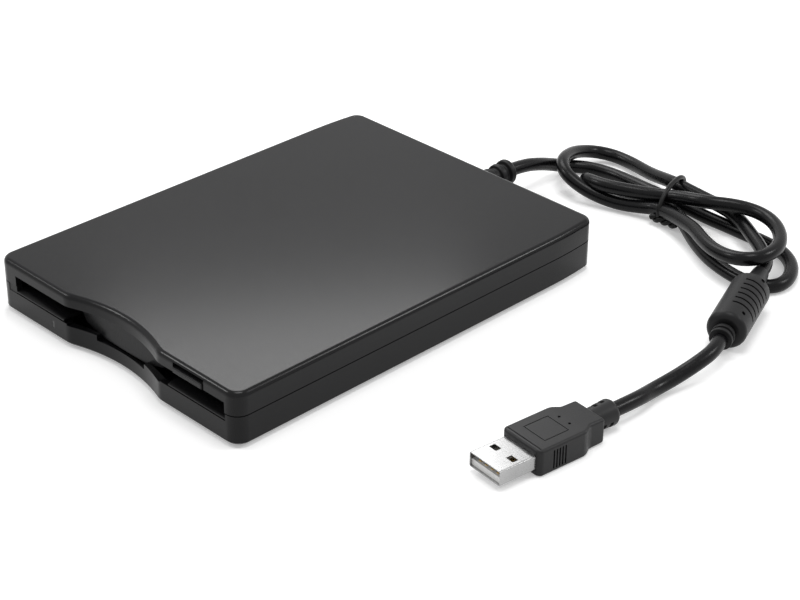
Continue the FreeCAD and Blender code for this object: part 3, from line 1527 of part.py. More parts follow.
# ----------------------------------------------------------------- plug
def in_plug(shape):
    """Lays a shape from the plug's own frame, mouth at the origin, in its place."""
    shape.rotate(V(0, 0, 0), Z_AXIS, plug_turn)
    shape.translate(V(plug_mouth[0], plug_mouth[1], grip_height / 2))
    return shape


def plug_shell():
    w, h, t = plug_shell_width / 2, plug_shell_height / 2, plug_shell_wall
    length = plug_shell_out + plug_shell_in
    outer = box(-w, w, 0, length, -h, h)
    outer = outer.makeFillet(plug_shell_round, [e for e in outer.Edges if e.BoundBox.YLength > length / 2])
    inner = box(t - w, w - t, -1, length + 1, t - h, h - t)
    windows = []
    for x in (-plug_window_x, plug_window_x):
        for z in (-h - 1, h - 1):
            windows.append(box(x - plug_window_wide / 2, x + plug_window_wide / 2,
                               plug_window_y - plug_window_long / 2, plug_window_y + plug_window_long / 2,
                               z, z + 2))
    return in_plug(cut(outer, [inner] + windows))


def plug_insert():
    t = plug_shell_wall + 0.02
    w, h = plug_shell_width / 2 - t, plug_shell_height / 2 - t
    tongue = box(-w, w, plug_insert_setback, plug_shell_out + plug_shell_in, -h, -h + plug_insert_height)
    root = box(-w, w, plug_shell_out - 0.6, plug_shell_out + plug_shell_in, -h, h)
    return in_plug(fuse([tongue, root]))


def plug_contacts():
    z0 = -plug_shell_height / 2 + plug_shell_wall + 0.02 + plug_insert_height
    strips = []
    for i in range(4):
        x = (i - 1.5) * plug_contact_pitch
        y0 = plug_insert_setback + 0.8
        strips.append(box(x - plug_contact_width / 2, x + plug_contact_width / 2, y0, y0 + plug_contact_length,
                          z0, z0 + plug_contact_height))
    return in_plug(Part.makeCompound(strips))


def grip_ribs():
    ribs = []
    w = grip_width / 2
    for side in (-1, 1):
        for i in range(grip_rib_count):
            y = plug_shell_out + grip_rib_start + i * grip_rib_pitch
            x0, x1 = sorted((side * (w - grip_rib_depth), side * (w + 1)))
            ribs.append(box(x0, x1, y, y + grip_rib_width, -grip_height / 2 + 1.2, grip_height / 2 - 1.2))
    return ribs


def plug_overmold():
    w, h = grip_width / 2, grip_height / 2
    y0 = plug_shell_out
    y1 = y0 + grip_length
    y2 = y1 + neck_step
    y3 = y1 + neck_length
    nw, nh = neck_width / 2, neck_height / 2
    grip = prism_xy([(-w, y0), (w, y0), (w, y1), (nw, y2), (-nw, y2), (-w, y1)], -h, h)
    grip = grip.makeFillet(grip_round, [e for e in grip.Edges if e.BoundBox.ZLength > h
                                        and e.CenterOfMass.y < y1 + 0.1])
    grip = grip.makeFillet(0.9, [e for e in grip.Edges if e.BoundBox.ZLength < 0.01])
    neck = box(-nw, nw, y2 - 1, y3, -nh, nh)
    neck = neck.makeFillet(1.2, [e for e in neck.Edges if e.BoundBox.YLength > 2])
    relief = turned(grooved(relief_length, relief_r, relief_r, [3.6, 3.6 + relief_groove_pitch],
                            relief_groove_width, relief_groove_depth), V(0, y3 - relief_overlap, 0), Y_AXIS)
    body = fuse([grip, neck, relief])
    p = grip_panel / 2
    panel = box(-p, p, y0 + 3.4, y0 + 3.4 + grip_panel, h - grip_panel_depth, h + 1)
    bore = box(-plug_shell_width / 2, plug_shell_width / 2, y0 - 1, y0 + plug_shell_in,
               -plug_shell_height / 2, plug_shell_height / 2)
    return in_plug(cut(body, grip_ribs() + [panel, bore]))


# --------------------------------------------------------------- the nodes
NODES = {
    "upper_cover": upper_cover,
    "lower_case": lower_case,
    "case_feet": case_feet,
    "case_screws": case_screws,
    "slot_bezel": slot_bezel,
    "slot_flap": slot_flap,
    "flap_hinge_pin": flap_hinge_pin,
    "flap_spring": flap_spring,
    "eject_button": eject_button,
    "eject_slider": eject_slider,
    "eject_springs": eject_springs,
    "disk_carrier": disk_carrier,
    "carrier_pins": carrier_pins,
    "shutter_lever": shutter_lever,
    "lever_clip": lever_clip,
    "chassis": chassis,
    "chassis_screws": chassis_screws,
    "motor_board": motor_board,
    "spindle_bearing": spindle_bearing,
    "spindle_stator": spindle_stator,
    "spindle_rotor": spindle_rotor,
    "rotor_magnet": rotor_magnet,
    "spindle_hub": spindle_hub,
    "drive_pin": drive_pin,
    "head_carriage": head_carriage,
    "lower_head": lower_head,
    "arm_pin": arm_pin,
    "upper_head_arm": upper_head_arm,
    "upper_head": upper_head,
    "guide_rod": guide_rod,
    "lead_screw": lead_screw,
    "stepper_motor": stepper_motor,
    "control_board": control_board,
    "control_chips": control_chips,
    "bridge_board": bridge_board,
    "bridge_chips": bridge_chips,
    "lead_header": lead_header,
    "ribbon_cable": ribbon_cable,
    "disk_switches": disk_switches,
    "light_pipe": light_pipe,
    "activity_led": activity_led,
    "cable_boot": cable_boot,
    "cord_lead": cord_lead,
    "cord_hank": cord_hank,
    "cord_tie": cord_tie,
    "cord_tail": cord_tail,
    "ferrite_bead": ferrite_bead,
    "cord_end": cord_end,
    "plug_shell": plug_shell,
    "plug_insert": plug_insert,
    "plug_contacts": plug_contacts,
    "plug_overmold": plug_overmold,
}


def main():
    os.makedirs("parts", exist_ok=True)
    print("the bay takes a disk", round(disk_width, 2), "wide")
    for name, make in NODES.items():
        shape = make()
        if not shape.isValid() or not shape.Solids:
            print("CHECK", name, "valid", shape.isValid(), "solids", len(shape.Solids))
        shape.exportStep(os.path.join("parts", name + ".step"))
        print(name, "solids", len(shape.Solids), "volume", round(shape.Volume, 2))


main()
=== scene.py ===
# %% [markdown]
# # A slim floppy disk drive with a captive lead
# This lesson dresses a finished mechanical model of an external disk drive. The CAD model brings every
# piece at its true size, and Blender adds the looks: moulded black plastic, a soft PVC lead tied in a
# hank, a ferrite bead and a nickel plated plug. Each step first says what the piece is on the real
# object, then how it is made here and why.

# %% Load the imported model
import bmesh
import bpy
import math
from mathutils import Matrix, Vector


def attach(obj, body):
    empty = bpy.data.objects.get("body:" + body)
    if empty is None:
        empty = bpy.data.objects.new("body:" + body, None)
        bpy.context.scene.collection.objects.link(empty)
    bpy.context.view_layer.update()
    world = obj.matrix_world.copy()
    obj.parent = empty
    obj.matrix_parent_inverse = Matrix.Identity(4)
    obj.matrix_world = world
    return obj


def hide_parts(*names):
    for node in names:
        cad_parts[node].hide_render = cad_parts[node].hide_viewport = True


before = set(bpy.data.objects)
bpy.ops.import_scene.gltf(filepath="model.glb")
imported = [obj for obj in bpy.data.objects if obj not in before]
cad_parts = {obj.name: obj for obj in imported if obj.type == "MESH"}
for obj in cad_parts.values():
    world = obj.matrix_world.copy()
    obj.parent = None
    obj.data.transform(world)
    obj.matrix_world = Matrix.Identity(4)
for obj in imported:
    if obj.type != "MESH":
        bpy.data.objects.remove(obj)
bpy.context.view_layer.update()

# %% [markdown]
# ## Units
# The scene is in metres. A small product is easier to read in millimetres, so places and sizes are
# written in millimetres and multiplied once, by a helper that makes a vector.

# %% Millimetres and small helpers
MM = 0.001


def mm(x, y, z):
    return Vector((x, y, z)) * MM


def let_go():
    """Nothing selected, so that the next operator acts on its own piece alone."""
    bpy.ops.object.select_all(action="DESELECT")


def take(piece):
    """Only this piece is selected and active."""
    let_go()
    piece.select_set(True)
    bpy.context.view_layer.objects.active = piece


def settle(piece):
    """Puts the piece's place and turn in its mesh, so that its object sits at the origin."""
    take(piece)
    bpy.ops.object.transform_apply(location=True, rotation=True, scale=True)


def apply_all(piece):
    take(piece)
    for modifier in list(piece.modifiers):
        bpy.ops.object.modifier_apply(modifier=modifier.name)


# %% [markdown]
# ## The camera
# The drive is seen from its front right corner, a little from above, through a long lens. A long lens
# keeps the case's long edges nearly parallel. The camera is placed by where it stands and what it looks
# at, and then rolled by half a degree.

# %% Make the camera
lens_mm = 93.18
camera_place = mm(395.28, -352.87, 303.78)
camera_aim = mm(26.171, 14.233, 0.8)
camera_roll = math.radians(0.513)


def camera_turn(place, aim, roll):
    ahead = (aim - place).normalized()
    right = ahead.cross(Vector((0, 0, 1))).normalized()
    up = right.cross(ahead)
    rolled_right = right * math.cos(roll) + up * math.sin(roll)
    rolled_up = up * math.cos(roll) - right * math.sin(roll)
    return Matrix((rolled_right, rolled_up, -ahead)).transposed()


camera_data = bpy.data.cameras.new("studio_camera")
camera_data.lens = lens_mm
camera_data.clip_end = 10.0
camera = bpy.data.objects.new("studio_camera", camera_data)
bpy.context.scene.collection.objects.link(camera)
camera.location = camera_place
camera.rotation_euler = camera_turn(camera_place, camera_aim, camera_roll).to_euler()
bpy.context.scene.camera = camera
bpy.context.scene.view_settings.view_transform = "Standard"
print("camera stands", round((camera_place - camera_aim).length, 3), "m from its aim")

# %% [markdown]
# ## The lead
# The lead is one round PVC cord, 4.3 mm thick. It leaves the boot at the back, drops to the table, makes
# two loops to the right and two to the left through a tie, then runs through the ferrite bead to the
# plug. A NURBS curve drawn through the listed points gives one smooth line with no straight runs, and its
# bevel makes it round: each point's radius is the lead's own, and the bevel depth of 1 keeps it. The
# order and the end option are set after the points are there, because before that they don't hold.

# %% Lay the lead
cord_thickness = 4.3
boot_end = (3.0, 85.45, 9.8)
lead_points = [boot_end, (3.2, 91.8, 9.5), (3.4, 99.2, 7.6), (2.6, 106.5, 4.6), (4.0, 112.8, 2.3),
               (8.0, 116.4, 2.15), (13.6, 118.4, 2.15), (19.8, 119.0, 2.3), (27.9, 118.0, 2.8),
               (37.2, 117.0, 3.3)]
far_loop = [(45.8, 117.0, 3.4), (52.1, 117.2, 2.7), (58.3, 117.5, 2.15), (65.3, 117.6, 2.15),
            (73.1, 117.4, 2.15), (80.9, 117.4, 2.15), (88.7, 115.9, 2.15), (95.2, 110.8, 2.15),
            (99.0, 103.4, 2.15), (98.6, 97.4, 2.15), (94.6, 94.2, 2.15), (88.8, 93.6, 2.15),
            (82.0, 94.7, 2.15), (74.1, 97.1, 2.15), (66.1, 101.2, 2.4), (58.8, 106.0, 3.0)]
small_loop = [(52.2, 110.4, 3.4), (45.8, 112.3, 3.4), (39.5, 113.0, 2.7), (33.5, 113.2, 2.15),
              (27.4, 112.8, 2.15), (22.2, 111.6, 2.2), (18.8, 109.5, 3.0), (17.6, 106.5, 4.7),
              (19.4, 103.9, 6.4), (23.4, 102.5, 7.4), (28.4, 102.7, 7.6), (34.0, 105.0, 7.6),
              (40.5, 108.4, 7.4)]
near_loop = [(46.4, 110.8, 7.9), (52.0, 111.4, 9.2), (58.3, 111.2, 10.6), (62.9, 112.7, 10.95),
             (66.7, 115.2, 10.95), (71.3, 117.2, 10.95), (76.9, 117.8, 10.95), (82.9, 116.2, 10.95),
             (88.9, 111.8, 10.95), (93.6, 105.0, 10.95), (94.7, 97.9, 10.95), (92.8, 92.7, 10.8),
             (87.4, 90.8, 9.9), (80.3, 92.0, 8.8), (72.8, 95.5, 8.2), (63.7, 101.5, 7.6)]
back_loop = [(46.4, 107.9, 4.6), (40.0, 106.4, 3.2), (33.0, 104.0, 2.6), (25.6, 101.6, 3.6),
             (18.6, 100.0, 5.8), (12.6, 100.6, 8.0), (8.0, 105.2, 8.8), (4.1, 114.7, 6.8),
             (3.7, 123.8, 4.0), (8.6, 129.0, 2.7), (17.0, 129.4, 2.5), (28.0, 125.6, 3.8),
             (37.1, 122.2, 6.2)]
tail_points = [(42.7, 120.1, 7.6), (48.6, 119.9, 7.2), (54.1, 119.9, 6.8), (59.7, 119.8, 6.5),
               (65.6, 118.8, 6.45), (71.7, 116.2, 6.45), (78.1, 112.1, 6.45), (86.4, 106.6, 6.45)]
bead_back = Vector((95.2, 94.2, 6.5))
bead_front = Vector((109.8, 56.6, 6.3))
bead_axis = (bead_front - bead_back).normalized()
plug_mouth = Vector((105.3, -33.75, 4.0))
plug_turn = math.radians(-6.4)


def behind_mouth(distance):
    """A place on the plug's own axis, so far behind its open end."""
    return plug_mouth + Vector((-math.sin(plug_turn), math.cos(plug_turn), 0)) * distance


relief_end = 43.7
run_before_bead, run_after_bead, run_before_plug = 7.3, 7.0, 9.0
bead_points = [bead_back - bead_axis * run_before_bead, bead_back, bead_front,
               bead_front + bead_axis * run_after_bead]
end_points = [(112.2, 43.2, 5.2), (110.9, 35.8, 3.4), (109.9, 27.0, 2.6),
              behind_mouth(relief_end + run_before_plug), behind_mouth(relief_end)]
cord_points = (lead_points + far_loop + small_loop + near_loop + back_loop + tail_points + bead_points
               + end_points)

cord_curve = bpy.data.curves.new("usb_lead", "CURVE")
cord_curve.dimensions = "3D"
cord_line = cord_curve.splines.new("NURBS")
cord_line.points.add(len(cord_points) - 1)
for point, place in zip(cord_line.points, cord_points):
    point.co = (*(Vector(place) * MM), 1.0)
    point.radius = cord_thickness / 2 * MM
cord_line.order_u = 3
cord_line.use_endpoint_u = True
cord_line.resolution_u = 10
cord_curve.bevel_depth = 1.0
cord_curve.bevel_resolution = 7
cord_curve.use_fill_caps = True
usb_lead = bpy.data.objects.new("usb_lead", cord_curve)
bpy.context.scene.collection.objects.link(usb_lead)
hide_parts("cord_lead", "cord_hank", "cord_tail", "cord_end")
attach(usb_lead, "housing")
print("the lead follows", len(cord_points), "points")

# %% [markdown]
# ## Floor, backdrop and light
# The drive stands on a plain white table under soft light. The world and the floor look white to the
# camera and in reflections through the Light Path node, while a weaker world lights the object. The
# floor stays a diffuse surface, so that it keeps the object's shadow.

# %% Build the stage
floor_half = 2.5
floor_grey = 0.86
floor_glow = 0.32
sky_strength = 0.40
studio = bpy.data.worlds.new("studio")
studio.use_nodes = True
bpy.context.scene.world = studio


def seen_ray(tree):
    """1 for rays that the camera sees directly, in a reflection or through a clear piece."""
    paths = tree.nodes.new("ShaderNodeLightPath")
    first = tree.nodes.new("ShaderNodeMath")
    first.operation = "MAXIMUM"
    tree.links.new(paths.outputs["Is Camera Ray"], first.inputs[0])
    tree.links.new(paths.outputs["Is Glossy Ray"], first.inputs[1])
    second = tree.nodes.new("ShaderNodeMath")
    second.operation = "MAXIMUM"
    tree.links.new(first.outputs[0], second.inputs[0])
    tree.links.new(paths.outputs["Is Transmission Ray"], second.inputs[1])
    return second.outputs[0]


def build_world(tree):
    out = tree.nodes["World Output"]
    fill = tree.nodes["Background"]
    fill.inputs["Color"].default_value = (1.0, 1.0, 1.0, 1.0)
    fill.inputs["Strength"].default_value = sky_strength
    white = tree.nodes.new("ShaderNodeBackground")
    white.inputs["Strength"].default_value = 1.0
    white.inputs["Color"].default_value = (1.0, 1.0, 1.0, 1.0)
    mix = tree.nodes.new("ShaderNodeMixShader")
    tree.links.new(seen_ray(tree), mix.inputs[0])
    tree.links.new(fill.outputs[0], mix.inputs[1])
    tree.links.new(white.outputs[0], mix.inputs[2])
    tree.links.new(mix.outputs[0], out.inputs["Surface"])


build_world(studio.node_tree)
let_go()
bpy.ops.mesh.primitive_plane_add(size=2 * floor_half, location=(0, 0, 0))
table_top = bpy.context.active_object
table_top.name = "table_top"
floor_finish = bpy.data.materials.new("white_table")
floor_finish.use_nodes = True


def build_floor(tree):
    shader = tree.nodes["Principled BSDF"]
    shader.inputs["Base Color"].default_value = (floor_grey, floor_grey, floor_grey, 1.0)
    shader.inputs["Roughness"].default_value = 1.0
    shader.inputs["Specular IOR Level"].default_value = 0.0
    glow = tree.nodes.new("ShaderNodeEmission")
    glow.inputs["Strength"].default_value = floor_glow
    lifted = tree.nodes.new("ShaderNodeAddShader")
    tree.links.new(shader.outputs[0], lifted.inputs[0])
    tree.links.new(glow.outputs[0], lifted.inputs[1])
    mix = tree.nodes.new("ShaderNodeMixShader")
    tree.links.new(seen_ray(tree), mix.inputs[0])
    tree.links.new(shader.outputs[0], mix.inputs[1])
    tree.links.new(lifted.outputs[0], mix.inputs[2])
    tree.links.new(mix.outputs[0], tree.nodes["Material Output"].inputs["Surface"])


build_floor(floor_finish.node_tree)
table_top.data.materials.append(floor_finish)
print("table is", 2 * floor_half, "m wide")

# %% [markdown]
# ## The soft lights
# A broad light hangs overhead. A small one low behind the case, to the left, draws a soft gradient on its
# top. One at the back right and one at the front left light the walls. Area lamps keep each shadow soft.

# %% Hang the soft lights
object_middle = mm(26, 20, 8)


def soft_light(name, place, size, watts):
    """A square softbox that faces the middle of the object."""
    data = bpy.data.lights.new(name, "AREA")
    data.shape = "SQUARE"
    data.size = size
    data.energy = watts
    lamp = bpy.data.objects.new(name, data)
    bpy.context.scene.collection.objects.link(lamp)
    lamp.location = place
    lamp.rotation_euler = (place - object_middle).to_track_quat("Z", "Y").to_euler()
    return lamp


softboxes = [soft_light("overhead_softbox", Vector((0.1, 0.0, 1.2)), 0.5, 6.0),
             soft_light("back_softbox", Vector((-0.18, 0.16, 0.28)), 0.17, 0.46),
             soft_light("right_softbox", Vector((0.62, 0.75, 0.72)), 0.25, 3.0),
             soft_light("front_softbox", Vector((-0.75, -0.55, 0.78)), 0.25, 2.6)]
print("softboxes:", len(softboxes))

# %% [markdown]
# ## Finishes
# Every finish is procedural and reads Object coordinates, which are metres here, so a grain keeps its
# true size on each piece. The plastic is spark-eroded: the mould has a fine grain that breaks up the
# reflection. A noise makes the bump, and a slower noise shifts colour and roughness a little.


# %% Node helpers
noise_low, noise_high = 0.3, 0.7


def new_finish(name):
    finish = bpy.data.materials.new(name)
    finish.use_nodes = True
    return finish, finish.node_tree, finish.node_tree.nodes["Principled BSDF"]


def object_coords(tree, stretch=(1.0, 1.0, 1.0)):
    coords = tree.nodes.new("ShaderNodeTexCoord")
    mapping = tree.nodes.new("ShaderNodeMapping")
    mapping.inputs["Scale"].default_value = stretch
    tree.links.new(coords.outputs["Object"], mapping.inputs["Vector"])
    return mapping.outputs["Vector"]


def noise(tree, vector, size_mm, detail=2.0):
    """A noise whose lumps are about size_mm across."""
    node = tree.nodes.new("ShaderNodeTexNoise")
    node.inputs["Scale"].default_value = 1.0 / (size_mm * MM)
    node.inputs["Detail"].default_value = detail
    tree.links.new(vector, node.inputs["Vector"])
    return node.outputs["Fac"]


def between(tree, factor, low, high):
    """A value that the factor moves between two roughnesses or heights."""
    node = tree.nodes.new("ShaderNodeMapRange")
    node.inputs["From Min"].default_value = noise_low
    node.inputs["From Max"].default_value = noise_high
    node.inputs["To Min"].default_value = low
    node.inputs["To Max"].default_value = high
    tree.links.new(factor, node.inputs["Value"])
    return node.outputs["Result"]


def colours(tree, factor, low, high):
    """A colour that the factor moves between two tones."""
    ramp = tree.nodes.new("ShaderNodeValToRGB")
    ramp.color_ramp.elements[0].position = noise_low
    ramp.color_ramp.elements[0].color = (*low, 1.0)
    ramp.color_ramp.elements[1].position = noise_high
    ramp.color_ramp.elements[1].color = (*high, 1.0)
    tree.links.new(factor, ramp.inputs["Fac"])
    return ramp.outputs["Color"]


def relief(tree, height, depth_mm, strength=1.0):
    bump = tree.nodes.new("ShaderNodeBump")
    bump.inputs["Strength"].default_value = strength
    bump.inputs["Distance"].default_value = depth_mm * MM
    tree.links.new(height, bump.inputs["Height"])
    return bump.outputs["Normal"]


print("node helpers ready")


# %% Plastics and rubbers
tone_size = 30.0
moulded_spread = 0.05


def moulded(name, low, high, rough, grain_mm, depth_mm, gloss):
    """Moulded plastic or rubber: a fine grain over slow shifts of tone."""
    finish, tree, shader = new_finish(name)
    where = object_coords(tree)
    slow = noise(tree, where, tone_size)
    grain = noise(tree, where, grain_mm, 1.0)
    tree.links.new(colours(tree, slow, low, high), shader.inputs["Base Color"])
    rough_range = between(tree, grain, rough - moulded_spread, rough + moulded_spread)
    tree.links.new(rough_range, shader.inputs["Roughness"])
    tree.links.new(relief(tree, grain, depth_mm), shader.inputs["Normal"])
    shader.inputs["Specular IOR Level"].default_value = gloss
    return finish


case_plastic = moulded("case_plastic", (0.0045, 0.0045, 0.005), (0.006, 0.006, 0.0065), 0.20, 0.28,
                       0.003, 0.17)
button_plastic = moulded("button_plastic", (0.007, 0.007, 0.0075), (0.010, 0.010, 0.0105), 0.28, 0.28,
                         0.003, 0.18)
flap_plastic = moulded("flap_plastic", (0.006, 0.006, 0.0065), (0.008, 0.008, 0.0085), 0.30, 0.28,
                       0.003, 0.15)
slot_plastic = moulded("slot_plastic", (0.006, 0.006, 0.0065), (0.008, 0.008, 0.0085), 0.32, 0.28,
                       0.004, 0.15)
foot_rubber = moulded("foot_rubber", (0.012, 0.012, 0.012), (0.018, 0.018, 0.018), 0.75, 0.5, 0.02, 0.2)
cord_pvc = moulded("cord_pvc", (0.0025, 0.0025, 0.003), (0.004, 0.004, 0.0045), 0.27, 0.6, 0.004, 0.15)
bead_rubber = moulded("bead_rubber", (0.008, 0.008, 0.0085), (0.011, 0.011, 0.0115), 0.42, 0.4, 0.008, 0.16)
plug_rubber = moulded("plug_rubber", (0.013, 0.013, 0.0135), (0.017, 0.017, 0.0175), 0.42, 0.4, 0.008, 0.22)
tie_vinyl = moulded("tie_vinyl", (0.003, 0.003, 0.003), (0.006, 0.006, 0.006), 0.34, 0.4, 0.006, 0.15)
chip_epoxy = moulded("chip_epoxy", (0.012, 0.012, 0.012), (0.02, 0.02, 0.02), 0.6, 0.2, 0.01, 0.3)
magnet_ferrite = moulded("magnet_ferrite", (0.03, 0.03, 0.035), (0.045, 0.045, 0.05), 0.7, 0.3, 0.02, 0.3)
white_acetal = moulded("white_acetal", (0.72, 0.72, 0.70), (0.78, 0.78, 0.76), 0.45, 1.0, 0.01, 0.4)
header_nylon = moulded("header_nylon", (0.70, 0.68, 0.60), (0.76, 0.74, 0.66), 0.5, 0.8, 0.01, 0.4)
plug_resin = moulded("plug_resin", (0.74, 0.74, 0.73), (0.80, 0.80, 0.79), 0.4, 0.8, 0.006, 0.4)
head_ceramic = moulded("head_ceramic", (0.10, 0.085, 0.07), (0.14, 0.12, 0.10), 0.15, 1.2, 0.002, 0.5)
ribbon_film = moulded("ribbon_film", (0.50, 0.49, 0.45), (0.58, 0.57, 0.53), 0.35, 1.0, 0.01, 0.4)
print("plastics and rubbers: 16")


# %% [markdown]
# ## Metals
# Rolled and ground metal has fine lines one way. A noise that is stretched along one axis gives those
# lines, both as a bump and as a change of roughness, and a slow noise clouds the plating.


# %% Metals
plating_size = 12.0
metal_smoother, metal_rougher = 0.06, 0.08
line_strength = 0.4


def metal(name, low, high, rough, stretch, line_mm, depth_mm):
    finish, tree, shader = new_finish(name)
    lines = noise(tree, object_coords(tree, stretch), line_mm, 3.0)
    clouds = noise(tree, object_coords(tree), plating_size)
    tree.links.new(colours(tree, clouds, low, high), shader.inputs["Base Color"])
    rough_range = between(tree, lines, rough - metal_smoother, rough + metal_rougher)
    tree.links.new(rough_range, shader.inputs["Roughness"])
    tree.links.new(relief(tree, lines, depth_mm, line_strength), shader.inputs["Normal"])
    shader.inputs["Metallic"].default_value = 1.0
    return finish


zinc_sheet = metal("zinc_sheet", (0.52, 0.53, 0.55), (0.62, 0.63, 0.65), 0.35, (1.0, 0.04, 1.0), 0.5, 0.01)
spring_wire = metal("spring_wire", (0.40, 0.40, 0.42), (0.50, 0.50, 0.52), 0.28, (1, 1, 1), 0.5, 0.004)
black_steel = metal("black_steel", (0.10, 0.10, 0.11), (0.16, 0.16, 0.17), 0.38, (1, 1, 1), 0.4, 0.006)
ground_rod = metal("ground_rod", (0.66, 0.66, 0.68), (0.72, 0.72, 0.74), 0.16, (1.0, 0.05, 1.0), 0.3, 0.003)
cast_alloy = metal("cast_alloy", (0.48, 0.49, 0.50), (0.56, 0.57, 0.58), 0.5, (1, 1, 1), 0.8, 0.02)
oiled_bronze = metal("oiled_bronze", (0.48, 0.33, 0.15), (0.58, 0.40, 0.19), 0.42, (1, 1, 1), 0.3, 0.01)
copper_wire = metal("copper_wire", (0.45, 0.18, 0.08), (0.58, 0.26, 0.12), 0.32, (1, 1, 0.1), 0.25, 0.05)
plug_nickel = metal("plug_nickel", (0.33, 0.33, 0.33), (0.39, 0.39, 0.39), 0.24, (0.05, 1, 1), 0.3, 0.001)
gold_flash = metal("gold_flash", (0.72, 0.50, 0.18), (0.80, 0.58, 0.24), 0.22, (1, 0.1, 1), 0.3, 0.002)
print("metals: 9")

# %% [markdown]
# ## Circuit boards and clear pieces
# A board is a glossy solder mask over copper tracks. A wave pattern that is bent by noise and cut hard by
# a colour ramp reads as tracks. The light pipe is smoked acrylic, so dark that little light passes
# through it. The activity light itself is clear green epoxy.


# %% Boards and clear pieces
def solder_mask(name):
    finish, tree, shader = new_finish(name)
    where = object_coords(tree)
    tracks = tree.nodes.new("ShaderNodeTexWave")
    tracks.inputs["Scale"].default_value = 160.0
    tracks.inputs["Distortion"].default_value = 6.0
    tracks.inputs["Detail"].default_value = 1.0
    tree.links.new(where, tracks.inputs["Vector"])
    tone = tree.nodes.new("ShaderNodeValToRGB")
    tone.color_ramp.interpolation = "CONSTANT"
    tone.color_ramp.elements[0].color = (0.008, 0.07, 0.022, 1.0)
    tone.color_ramp.elements[1].position = 0.72
    tone.color_ramp.elements[1].color = (0.015, 0.13, 0.04, 1.0)
    tree.links.new(tracks.outputs["Fac"], tone.inputs["Fac"])
    tree.links.new(tone.outputs["Color"], shader.inputs["Base Color"])
    tree.links.new(relief(tree, tracks.outputs["Fac"], 0.02, 0.5), shader.inputs["Normal"])
    tree.links.new(between(tree, noise(tree, where, 4.0), 0.22, 0.34), shader.inputs["Roughness"])
    return finish


def clear_resin(name, tint, rough, clearness):
    finish, tree, shader = new_finish(name)
    cloud = noise(tree, object_coords(tree), 1.5)
    faint = tuple(0.85 * c for c in tint)
    tree.links.new(colours(tree, cloud, faint, tint), shader.inputs["Base Color"])
    tree.links.new(between(tree, cloud, rough, rough + 0.08), shader.inputs["Roughness"])
    shader.inputs["Transmission Weight"].default_value = clearness
    shader.inputs["IOR"].default_value = 1.49
    return finish


board_mask = solder_mask("board_mask")
pipe_acrylic = clear_resin("pipe_acrylic", (0.006, 0.0065, 0.006), 0.24, 0.1)
led_epoxy = clear_resin("led_epoxy", (0.25, 0.80, 0.35), 0.12, 0.85)
print("boards and clear pieces: 3")

# %% [markdown]
# ## The pieces that keep their CAD shape
# What sits inside the case is right as the CAD has it, so it only gets a finish. One table of names
# gives each node its material.

# %% Dress the inner pieces
inner_finishes = {
    foot_rubber: ["case_feet"],
    black_steel: ["case_screws", "chassis_screws"],
    zinc_sheet: ["eject_slider", "disk_carrier", "chassis", "spindle_rotor", "stepper_motor"],
    spring_wire: ["flap_spring", "eject_springs", "lever_clip"],
    ground_rod: ["flap_hinge_pin", "carrier_pins", "spindle_hub", "drive_pin", "arm_pin", "guide_rod",
                 "lead_screw"],
    white_acetal: ["shutter_lever", "upper_head_arm"],
    board_mask: ["motor_board", "control_board", "bridge_board"],
    oiled_bronze: ["spindle_bearing"],
    copper_wire: ["spindle_stator"],
    magnet_ferrite: ["rotor_magnet"],
    cast_alloy: ["head_carriage"],
    head_ceramic: ["lower_head", "upper_head"],
    chip_epoxy: ["control_chips", "bridge_chips", "disk_switches"],
    header_nylon: ["lead_header"],
    ribbon_film: ["ribbon_cable"],
    pipe_acrylic: ["light_pipe"],
    led_epoxy: ["activity_led"],
    gold_flash: ["plug_contacts"],
    plug_resin: ["plug_insert"],
}


def dress(piece, finish):
    piece.data.materials.clear()
    piece.data.materials.append(finish)


for finish, names in inner_finishes.items():
    for name in names:
        dress(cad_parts[name], finish)
print("dressed nodes:", sum(len(names) for names in inner_finishes.values()))

# %% [markdown]
# ## The outer shells
# The upper cover, the lower case, the slot's lips, the flap and the button are smooth mouldings. Their
# CAD nodes are loose triangles, so a copy is merged. Its edges past a crease angle are marked sharp, the
# rest is shaded smooth, and the normals follow the large flat faces. That keeps flat walls flat beside
# their rounded edges.


# %% Smooth copies of the mouldings
crease = math.radians(32)
merge_distance = 1e-6


def shade(piece):
    """Smooth shading that breaks at every edge past the crease angle and keeps flat walls flat."""
    take(piece)
    bpy.ops.object.mode_set(mode="EDIT")
    bpy.context.tool_settings.mesh_select_mode = (False, True, False)
    bpy.ops.mesh.select_all(action="DESELECT")
    bpy.ops.mesh.edges_select_sharp(sharpness=crease)
    bpy.ops.mesh.mark_sharp()
    bpy.ops.object.mode_set(mode="OBJECT")
    bpy.ops.object.shade_smooth(keep_sharp_edges=True)
    weighted = piece.modifiers.new("flat_faces_lead", "WEIGHTED_NORMAL")
    weighted.keep_sharp = True
    weighted.weight = 100
    apply_all(piece)


def smooth_copy(node, name, body, finish):
    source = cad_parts[node]
    piece = bpy.data.objects.new(name, source.data.copy())
    bpy.context.scene.collection.objects.link(piece)
    take(piece)
    bpy.ops.object.mode_set(mode="EDIT")
    bpy.ops.mesh.select_all(action="SELECT")
    bpy.ops.mesh.remove_doubles(threshold=merge_distance)
    bpy.ops.object.mode_set(mode="OBJECT")
    shade(piece)
    dress(piece, finish)
    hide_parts(node)
    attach(piece, body)
    return piece


cover_shell = smooth_copy("upper_cover", "cover_shell", "housing", case_plastic)
base_shell = smooth_copy("lower_case", "base_shell", "housing", case_plastic)
slot_lips = smooth_copy("slot_bezel", "slot_lips", "housing", slot_plastic)
dust_flap = smooth_copy("slot_flap", "dust_flap", "flap", flap_plastic)
push_button = smooth_copy("eject_button", "push_button", "eject_frame", button_plastic)
plug_tube = smooth_copy("plug_shell", "plug_tube", "housing", plug_nickel)
print("faces on the cover:", len(cover_shell.data.polygons))


